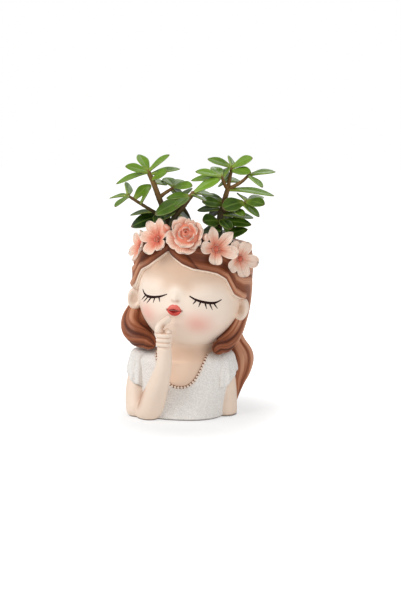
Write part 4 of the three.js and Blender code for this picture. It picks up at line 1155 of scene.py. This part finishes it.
roseSet = dict(
    seat=(-4, 7.6, 1, 25, -4),
    cups=[  # direction, half the angle it spans, inner and outer radius, foot and top, roll of its edge
        (-90, 50, 5, 14.6, -1.5, 3.2, 1.1), (207, 40, 5, 15.4, -1.2, 3.8, 1.2),
        (-38, 34, 5, 12.6, -0.8, 4.6, 1), (133, 40, 5, 13.6, -0.5, 6.5, 0.8),
        (24, 46, 5, 12.4, -0.5, 6.2, 0.8), (82, 30, 4, 11.2, 0, 7.2, 0.5),
        (-96, 60, 4, 10.6, 1, 6.6, 0.8), (168, 46, 4, 10.2, 1, 7, 0.7), (46, 50, 4, 8.6, 2, 7.6, 0.5),
        (-34, 46, 3, 6.6, 3, 7.8, 0.4), (205, 54, 2.5, 5.4, 3, 8.2, 0.4), (95, 60, 2, 4.2, 4, 8.8, 0.3),
        (-70, 66, 1, 3.1, 5, 8.9, 0.3), (110, 70, 0.5, 1.7, 5, 9.1, 0.2),
    ],
    dome=(10.2, 6.2),
)
budSet = {
    "crown_bud_left": dict(seat=(-26, 8.5, 1, 45, -26), radius=3.6, height=9, coral=0.9),
    "crown_bud_right": dict(seat=(15, 6.5, 1, 40, 15), radius=3.3, height=7.8, coral=0.25),
}


def petalPaint():
    material, surface, wire = newPaint("petal_paint", 0.55, 0.35)
    mottle = noise(wire, 260, 3)
    coral = attribute(wire, "coral") + 0.45 * (mottle - 0.5)
    line = wire.sum("SINE", 24 * attribute(wire, "vein") + 3 * mottle)
    colour = rampTints(
        coral, (0, (248, 224, 206)), (0.3, (242, 196, 172)),
        (0.68, (234, 148, 120)), (1, (218, 98, 78)),
    )
    colour = layered(
        colour, (0.2 * fade(line, 0.3, 1), (196, 116, 90)),
        # pale edges: paint, with a painted highlight
        (0.8 * attribute(wire, "rim"), (250, 230, 213)),
    )
    coat(surface, colour, bump(0.6 * line + noise(wire, 900), 0.16))
    return material


def seatFrame(bearing, height, standOff, faceUp, facing):
    s, h = garlandSet, headSet
    angle = math.radians(s["bearing"] + bearing)
    share = float(headShare(np.array(min(h["rim"] + height, h["rim"]))))
    cover = mixed(hairSet["side"], hairSet["fringe"], float(smooth(0.1, 0.9, math.cos(angle))))
    across = (h["halfWidth"] + cover) * share + standOff
    deep = (h["halfDepth"] + cover) * share + standOff
    seat = np.array([across * math.sin(angle), -deep * math.cos(angle), h["rim"] + height])
    return seat, turned(s["bearing"] + facing, "Z") @ turned(90 - faceUp, "X")


def seatFlower(piece, seat):
    place, turn = seatFrame(*seat)
    setVerts(piece, onHead(readVerts(piece) / mm @ turn.T + place))
    return piece


def paintPetal(piece, coral, vein, rim):
    store(piece, coral=np.clip(coral, 0, 1), vein=vein, rim=np.clip(rim, 0, 1))
    return piece


def petal(direction, length, width, lift, tip, tintAndShade):  # tip is 0 for pointed and 1 for round
    s = garlandSet
    piece, turn, v = ball("petal", s["around"], s["up"])
    u, face = np.cos(turn), np.sin(turn)
    widest = s["widest"]
    outer = ramp(widest, 1, v)
    closing = (1 - outer ** mixed(1.25, 2.8, tip)) ** mixed(0.9, 0.5, tip)
    foot = np.sqrt(ramp(0, 0.06, v))
    outline = mixed(0.34, 1, np.sin(ramp(0, widest, v) * np.pi / 2)) * closing * foot
    thick = 0.5 * s["thick"] * signedPower(face, 0.6) * foot * np.sqrt(closing)
    reach = 0.8 + length * v - 0.11 * length * tip * bell(u, 0.26) * v**8
    spoon = 0.17 * width * u**2 * np.sin(np.pi * np.minimum(v, 0.75))
    ruffle = 0.8 * np.sin(6.3 * u + 0.37 * direction) * v**3 * np.abs(u) ** 0.7
    crease = bell(u, 0.13) + 0.4 * bell(np.abs(u) - 0.5, 0.1)
    height = lift * v**1.5 + spoon + ruffle - 0.8 * (face > 0) * crease * np.sin(np.pi * v) ** 0.7
    across = 0.5 * width * outline * u
    c, d = math.cos(math.radians(direction)), math.sin(math.radians(direction))
    setVerts(piece, xyz(reach * c - across * d, reach * d + across * c, height + thick))
    upper = smooth(-0.3, 0.3, face)
    rim = np.maximum(smooth(0.84, 1, np.abs(u) * smooth(0.1, 0.5, v)), smooth(0.92, 1, v))
    # deeper coral towards the foot and in the creases: the flower's paint, with painted shade in the
    # creases
    coral = (1.05 + tintAndShade - 1.25 * v + 0.4 * (1 - v) * crease - 0.15 * u**2) * mixed(0.3, 1, upper)
    return paintPetal(piece, coral, u, rim * mixed(0.6, 1, upper))


def cupPetal(direction, half, inner, outer, foot, top, roll, pale=1.0):
    s = garlandSet
    piece, turn, v = ball("cup_petal", s["around"] + 12, s["up"])
    u, face = np.cos(turn), np.sin(turn)
    tip = ramp(0.6, 1, v)
    closing = np.sqrt(1 - tip**3) * np.sqrt(ramp(0, 0.06, v))
    angle = np.radians(direction + half * mixed(0.75, 1, v) * closing * u)
    wave = min(0.05 * outer, 0.6) * np.sin(5.3 * u + 0.37 * direction) * v**3
    radius = mixed(inner, outer, v**0.85) + roll * smooth(0.65, 1, v) ** 2 + wave
    thick = min(s["thick"], 0.3 * outer)
    radius = radius + 0.5 * thick * signedPower(face, 0.6) * np.sqrt(closing)
    curl = 0.5 * roll * smooth(0.75, 1, v) ** 2
    height = mixed(foot, top, v**1.25) - curl - 0.1 * (top - foot) * u**2 + 0.8 * wave
    setVerts(piece, polar(radius, angle, height))
    inside = smooth(0.3, -0.3, face)
    rim = np.maximum(smooth(0.88, 1, v), smooth(0.88, 1, np.abs(u)) * smooth(0.3, 0.7, v))
    deep = 1 - smooth(2, 13, np.full_like(v, outer))
    coral = mixed(0.15, 0.6 + 0.4 * deep, inside) * (1.2 - 0.85 * v) + 0.35 * deep
    return paintPetal(piece, coral, 1.4 * u, pale * rim * mixed(0.95, 0.55, deep))


def domed(radius, height, coral):  # a round heart that fills the middle of a flower
    dome, turn, rise = ball("dome", around=48, up=24)
    wide = radius * np.sin(np.pi * rise)
    level = -np.cos(np.pi * rise)
    up = height * np.where(level > 0, level, 0.4 * level)
    setVerts(dome, polar(wide, turn, up))
    return paintPetal(dome, coral * smooth(-1, 0.2, level), 0 * rise, 0 * rise)


def makeBloom(name, s):
    pieces = [petal(*one, s["tintAndShade"]) for one in s["petals"]]
    size = s["heart"]
    for direction, share, top in garlandSet["heartCups"]:
        radius, height = size * share, 0.5 + size * top
        pieces.append(cupPetal(direction, 58, 0.4 * radius, radius, 0, height, 0.5 * share, 0.5))
    pieces.append(domed(0.75 * size, 1.2 * size, 0.9))
    return seatFlower(joinPieces(name.replace("crown", "flower"), pieces), s["seat"])


def makeRose(s):
    pieces = [cupPetal(*one) for one in s["cups"]] + [domed(*s["dome"], 0.75)]
    return seatFlower(joinPieces("flower_rose", pieces), s["seat"])


def makeBud(name, s):
    piece, turn, v = ball(name.replace("crown", "flower"), around=48, up=40)
    fold = ridge(1.5 * turn / np.pi + 0.8 * v)
    radius = s["radius"] * np.sin(np.pi * v**0.8) ** 0.75 * (0.8 + 0.2 * fold)
    setVerts(piece, polar(radius, turn, s["height"] * v - 0.5))
    coral = s["coral"] * (1.1 - 0.6 * v) + 0.2 * (1 - fold)
    paintPetal(piece, coral, 0.5 * np.cos(turn), 0.4 * smooth(0.7, 1, fold))
    return seatFlower(piece, s["seat"])


# Plant: four stems in the soil. Places are across, behind and above a point over the middle of the rim.
# A leaf grows from a share of the way along its branch to its tip, which is given across and up as seen
# from the front, with the leaf's width and -1 where it points ahead or 1 where it points behind.

plantSet = dict(
    facing=8, rise=4, twig=1.6, ringPitch=5.5, ringRise=0.1, slope=0.175,  # slope of the photo's view
    leafThick=2.5, leafFull=1.15, leafWidth=9.5, leafLength=21, leafWidest=0.58, leafReach=(3, 15),
)
stemSet = {
    "jade_stem_front": dict(
        thick=2.6,
        branches=dict(main=[(-19.5, -9, -18), (-19.5, -10, 10), (-11, -10, 23.5), (-2.5, -9, 34.5)]),
        leaves=[
            ("main", 1, (19.5, 44), 8.5, -1), ("main", 1, (14, 32.5), 6, 1),
            ("main", 0.96, (7.5, 25), 3.8, -1), ("main", 0.9, (-16.5, 20.5), 7, -1),
            ("main", 0.84, (-33.5, 15), 11.5, -1), ("main", 0.92, (-24.5, 29.5), 7, 1),
            ("main", 0.5, (-4.5, 12), 6, 1), ("main", 0.62, (-30.5, 11), 7, 1),
        ],
    ),
    "jade_stem_left": dict(
        thick=2.6,
        branches=dict(
            main=[(-14, 4, -18), (-23, 3, 11), (-30.5, 2, 30), (-34.5, 3, 40.5), (-39, 4, 51)],
            side=[(-23.5, 3, 12), (-34, -2, 18.5), (-44, -6, 25), (-55, -9, 32.5)],
            upper=[(-30.5, 2, 30), (-24, 4, 34.5), (-18.5, 6, 38)],
        ),
        leaves=[
            ("main", 1, (-47.5, 67), 9, 1), ("main", 1, (-21.5, 65), 6, -1),
            ("main", 0.97, (-57.5, 55), 8, -1), ("main", 0.99, (-65.5, 41), 6, -1),
            ("main", 0.94, (-13, 54), 6, 1), ("main", 0.84, (-23, 50), 8, -1),
            ("main", 0.78, (-24.5, 43), 7, 1), ("upper", 1, (-26, 48.5), 9.5, 1),
            ("upper", 0.95, (-11.5, 46.5), 10.5, 1), ("upper", 1, (-3, 38.5), 8, -1),
            ("upper", 0.8, (-9.5, 33), 7, 1), ("side", 1, (-55.5, 42.5), 7, 1),
            ("side", 1, (-71, 30), 4.5, 1), ("side", 0.98, (-64.5, 20.5), 5.5, -1),
            ("side", 0.86, (-37, 41), 9.5, 1), ("side", 0.7, (-36.5, 36), 5, -1),
            ("side", 0.36, (-54.5, 16), 5, 1), ("main", 0.3, (-53.5, 6), 12, -1),
            ("main", 0.32, (-33, 8.5), 9.5, -1), ("main", 0.34, (-22, 18), 8, 1),
            ("main", 0.24, (-36, 6), 9, 1),
        ],
    ),
    "jade_stem_back": dict(
        thick=1.6,
        branches=dict(main=[(3, 8, -18), (-6, 8, 12), (-10.5, 8, 21), (-13, 7, 28)]),
        leaves=[
            ("main", 0.55, (-17, 13), 5, 1), ("main", 1, (-4, 40), 6, 1), ("main", 1, (-20, 38), 6, 1),
        ],
    ),
    "jade_stem_right": dict(
        thick=2.6,
        branches=dict(
            main=[(17, -1, -18), (19.5, -1, 15), (21, -1, 21.5), (24, -1, 32.5), (25.5, -1, 37)],
            left=[(25.5, -1, 37), (22.5, -4, 42), (20.5, -7, 47.5)],
            middle=[(25.5, -1, 37), (27.5, 3, 47), (29, 6, 54)],
            right=[(25.5, -1, 37), (35, -2, 42), (42.5, -3, 48.5)],
            low=[(20, -1, 18), (31, -4, 23), (41, -6, 27.5)],
        ),
        leaves=[
            ("left", 1, (-1, 50), 7, -1), ("left", 0.9, (-4.5, 43.5), 6.5, 1),
            ("left", 1, (13.5, 56), 9, 1), ("left", 0.9, (25, 55), 8, 1),
            ("middle", 0.3, (37.5, 44.5), 6.5, 1), ("middle", 0.35, (18, 41), 6, 1),
            ("middle", 1, (9, 62.5), 7.5, 1), ("middle", 1, (28, 65.5), 6.5, 1),
            ("middle", 1, (45.5, 61.5), 8.5, -1), ("middle", 0.8, (44, 49), 8.5, -1),
            ("middle", 0.6, (22, 45), 6, 1), ("right", 1, (64.5, 51), 6, 1),
            ("right", 0.96, (53, 36.5), 6, -1), ("main", 0.97, (63.5, 31), 6.5, -1),
            ("low", 1, (34, 34), 4.5, 1), ("low", 1, (55, 31.5), 7, 1),
            ("low", 0.96, (54.5, 22.5), 9.5, -1), ("low", 0.9, (21, 20), 12.5, -1),
            ("low", 0.8, (50.5, 13), 7, -1), ("low", 0.35, (38.5, 13.5), 7.5, -1),
            ("main", 0.62, (4.5, 33), 7, 1), ("main", 0.56, (4.5, 25.5), 9.5, -1),
            ("main", 0.46, (0.5, 20), 7, 1), ("main", 0.2, (5, 9.5), 11.5, -1),
            ("main", 0.22, (27.5, 3), 9, -1), ("main", 0.14, (3.5, 2), 10, 1),
            ("main", 0.24, (32, -3.5), 10, 1), ("main", 0.3, (30.5, 9), 9, 1),
            ("main", 0.4, (9, 15.5), 9, 1), ("main", 0.2, (45, 7.5), 9, -1),
            ("main", 0.27, (47, 13.5), 7, 1), ("main", 0.09, (42, 4), 9, -1),
            ("main", 0.5, (33, 24), 8.5, 1), ("main", 0.34, (25, 14), 8.5, 1),
            ("main", 0.12, (33, 1.5), 7, 1), ("main", 0.16, (13, 2.5), 9, -1),
        ],
    ),
}


def leafPaint():
    material, surface, wire = newPaint("jade_leaf", 0.3, 0.32)
    surface.inputs["Subsurface Weight"].default_value = 0.12
    surface.inputs["Subsurface Radius"].default_value = (0.4, 0.7, 0.15)
    surface.inputs["Subsurface Scale"].default_value = 0.002
    age, v, u = (attribute(wire, name) for name in ("age", "length", "across"))
    mottle = noise(wire, 150, 3)
    colour = layered(
        (126, 166, 46),
        # darker green on older leaves, with painted shade
        (age + 0.5 * (mottle - 0.5), (20, 48, 4)),
        (0.5 * (1 - fade(v, 0.02, 0.35)), (160, 170, 70)),  # foot
        # lighter along the midrib and the edge: painted highlight
        (0.3 * (1 - fade(u, 0.02, 0.16)), (150, 178, 84)),  # midrib
        (0.45 * fade(u, 0.84, 1), (170, 184, 104)),  # edge
        (0.8 * fade(v, 0.9, 1), (112, 82, 58)),  # tip
    )
    coat(surface, colour, bump(noise(wire, 700, 3), 0.08), 0.26 + 0.16 * mottle)
    return material


def woodPaint():
    material, surface, wire = newPaint("jade_wood", 0.6, 0.35)
    grain = noise(wire, 420, 3)
    colour = layered(
        (124, 92, 46), (attribute(wire, "age"), (52, 52, 22)),
        (0.6 * fade(grain, 0.5, 0.75), (108, 64, 38)),
    )
    coat(surface, colour, bump(grain, 0.3))
    return material


def onPlant(places):
    s = plantSet
    foot = onHead((0, 0, headSet["rim"])) + np.array([0, 0, s["rise"]])
    return np.asarray(places, float) @ turned(s["facing"], "Z").T + foot


def makeLeaf(s, base, seenTip, width, side):
    piece, turn, v = ball("leaf", around=32, up=32)
    u, face = np.cos(turn), np.sin(turn)
    seen = math.hypot(seenTip[0] - base[0], seenTip[1] - base[2] - s["slope"] * base[1])
    deep = base[1] + side * np.clip(math.sqrt(max(s["leafLength"] ** 2 - seen**2, 0)), *s["leafReach"])
    tip = np.array([seenTip[0], deep, seenTip[1] - s["slope"] * deep])
    way = tip - base
    length = np.linalg.norm(way)
    shown = s["leafFull"] * width
    breadth = max(shown, s["leafWidth"])
    roll = math.acos(np.clip((shown - 0.8 * s["leafThick"]) / breadth, 0.2, 1))
    across = unit(np.cross(way, (0, -1, s["slope"])))
    out = unit(np.cross(across, way))
    roll = roll if across[2] < 0 else -roll  # turns the upper face to the sky
    c, d = math.cos(roll), math.sin(roll)
    across, out = across * c + out * d, out * c - across * d
    widest = s["leafWidest"]
    outer = ramp(widest, 1, v)
    closing = (1 - outer**1.75) ** 0.72
    foot = np.sqrt(ramp(0, 0.05, v))
    outline = mixed(0.26, 1, smooth(-0.15, 1, v / widest)) * closing * foot
    thick = 0.5 * s["leafThick"] * mixed(1, 0.6, v) * np.sqrt(closing) * foot
    dish = 0.09 * breadth * (u**2 - 0.4) * np.sin(np.pi * v)
    groove = 0.35 * bell(u, 0.13) * np.sin(np.pi * v) * (face > 0)
    lift = dish - groove + thick * signedPower(face, 0.7)
    arch = 0.05 * length * np.sin(np.pi * v)
    co = base + way * v[:, None] + across * (0.5 * breadth * outline * u)[:, None] + out * lift[:, None]
    co[:, 2] += arch
    setVerts(piece, onPlant(co))
    # lower leaves, leaves further behind and the undersides are darker: older leaves, and painted shade
    low = smooth(56, 12, tip[2] + 0.12 * abs(tip[0]))
    age = 0.22 + 0.58 * low + 0.14 * math.sin(7 * tip[0] + 3 * tip[2]) + 0.14 * smooth(-4, 8, tip[1])
    store(piece, age=np.clip(age + 0.2 * (face < -0.2), 0, 1), length=v, across=np.abs(u))
    return piece


def makeBranch(path, radius):
    def swell(turn, t):  # rings where leaves have dropped off
        ring = bell((t * length / plantSet["ringPitch"]) % 1 - 0.5, 0.1)
        return 1 + plantSet["ringRise"] * ring + 0.04 * np.sin(3 * turn + 9 * t)

    length = runLength(path)[-1]
    radii = radius * np.linspace(1.05, 0.72, len(path))
    piece = limb("branch", path, radii, around=18, up=70, cap=0.03, swell=swell)[0]
    co = readVerts(piece) / mm
    # darker towards the foot of the stem: painted shade under the leaves
    store(piece, age=smooth(38, 12, co[:, 2]))
    setVerts(piece, onPlant(co))
    return piece


def makeStem(name, stem):
    wood = [
        makeBranch(path, stem["thick"] if branch == "main" else plantSet["twig"])
        for branch, path in stem["branches"].items()
    ]
    leaves = [
        makeLeaf(plantSet, along(stem["branches"][branch], np.array([share]))[0], tip, width, side)
        for branch, share, tip, width, side in stem["leaves"]
    ]
    wood = joinPieces(name.replace("stem", "wood"), wood)
    return wood, joinPieces(name.replace("stem", "leaves"), leaves)


# Soil in the cup, and the plug under the bust

soilSet = dict(
    below=8, gap=0.4, crown=4.5, around=150, up=120,
    crumbs=340, crumbReach=31, crumbSize=(0.9, 2.4), crumbRise=(0.1, 0.55), seed=11,
)
plugSet = dict(
    back=13, around=72, up=96,
    profile=[  # radius and height
        (0, 0.8), (8.9, 0.8), (9.5, 1.3), (9.5, 2.8), (9.1, 3.2),
        (5.8, 3.2), (5.6, 8.6), (4.6, 9.5), (0, 9.5),
    ],
)


def soilPaint():
    material, surface, wire = newPaint("potting_soil_paint", 0.95, 0.15)
    lumps = noise(wire, 420, 4)
    colour = layered(
        (38, 27, 20), (fade(lumps, 0.35, 0.68), (92, 68, 50)),
        (0.5 * fade(noise(wire, 900), 0.66, 0.74), (150, 128, 104)),
    )
    coat(surface, colour, bump(lumps, 1.2))
    return material


def makeSoil(s):
    h = headSet
    top, bottom = h["rim"] - s["below"], h["rim"] - h["cupDepth"] + s["gap"]

    def wallAt(z):
        return mixed(h["cupFloor"], h["cupMouth"], (z - bottom) / h["cupDepth"]) - s["gap"]

    piece, turn, rise = ball("soil_mound", s["around"], s["up"])
    under, edge = 0.15, 0.45  # where the mesh's rows end for underside and side
    z = np.where(rise < under, bottom, mixed(bottom, top, ramp(under, edge, rise)))
    radius = np.where(rise < under, wallAt(bottom) * rise / under, wallAt(z))
    radius = np.where(rise > edge, wallAt(top) * (1 - rise) / (1 - edge), radius)
    z = z + s["crown"] * smooth(edge, 0.75, rise)
    x, y = radius * np.cos(turn), radius * np.sin(turn)
    chance = np.random.default_rng(s["seed"])
    for i in range(s["crumbs"]):
        far, angle = s["crumbReach"] * math.sqrt(chance.random()), 2 * math.pi * chance.random()
        size = chance.uniform(*s["crumbSize"])
        lump = hill(x, y, (far * math.cos(angle), far * math.sin(angle)), (size, size))
        z = z + chance.uniform(*s["crumbRise"]) * lump * (rise > 0.46)
    setVerts(piece, onHead(xyz(x, y, z)))
    return piece


def makePlug(s):
    piece, turn, rise = ball("rubber_plug", s["around"], s["up"])
    profile = np.array(s["profile"], float)
    way = runLength(profile)
    radius, z = (np.interp(rise * way[-1], way, profile[:, i]) for i in (0, 1))
    setVerts(piece, xyz(radius * np.cos(turn), s["back"] + radius * np.sin(turn), z))
    return piece


def plugPaint():
    material, surface, wire = newPaint("plug_rubber", 0.85, 0.3)
    colour = layered((52, 52, 52), (noise(wire, 300), (76, 75, 73)))
    coat(surface, colour, bump(noise(wire, 1200), 0.1))
    return material


petals = petalPaint()
finishPiece(makeRose(roseSet), "pot", petals, "rose", "crown_rose")
for name, bloom in bloomSet.items():
    finishPiece(makeBloom(name, bloom), "pot", petals, "petals", name)
for name, bud in budSet.items():
    finishPiece(makeBud(name, bud), "pot", petals, "petals", name)
print("garland done")
leafGreen, woodBrown = leafPaint(), woodPaint()
for name, stem in stemSet.items():
    wood, leaves = makeStem(name, stem)
    finishPiece(wood, "plant", woodBrown, "plant", name)
    finishPiece(leaves, "plant", leafGreen, "plant", name)
finishPiece(makeSoil(soilSet), "plant", soilPaint(), "soil", "potting_soil")
finishPiece(makePlug(plugSet), "plug", plugPaint(), "plug", "drain_plug")
print("plant, soil and plug done")
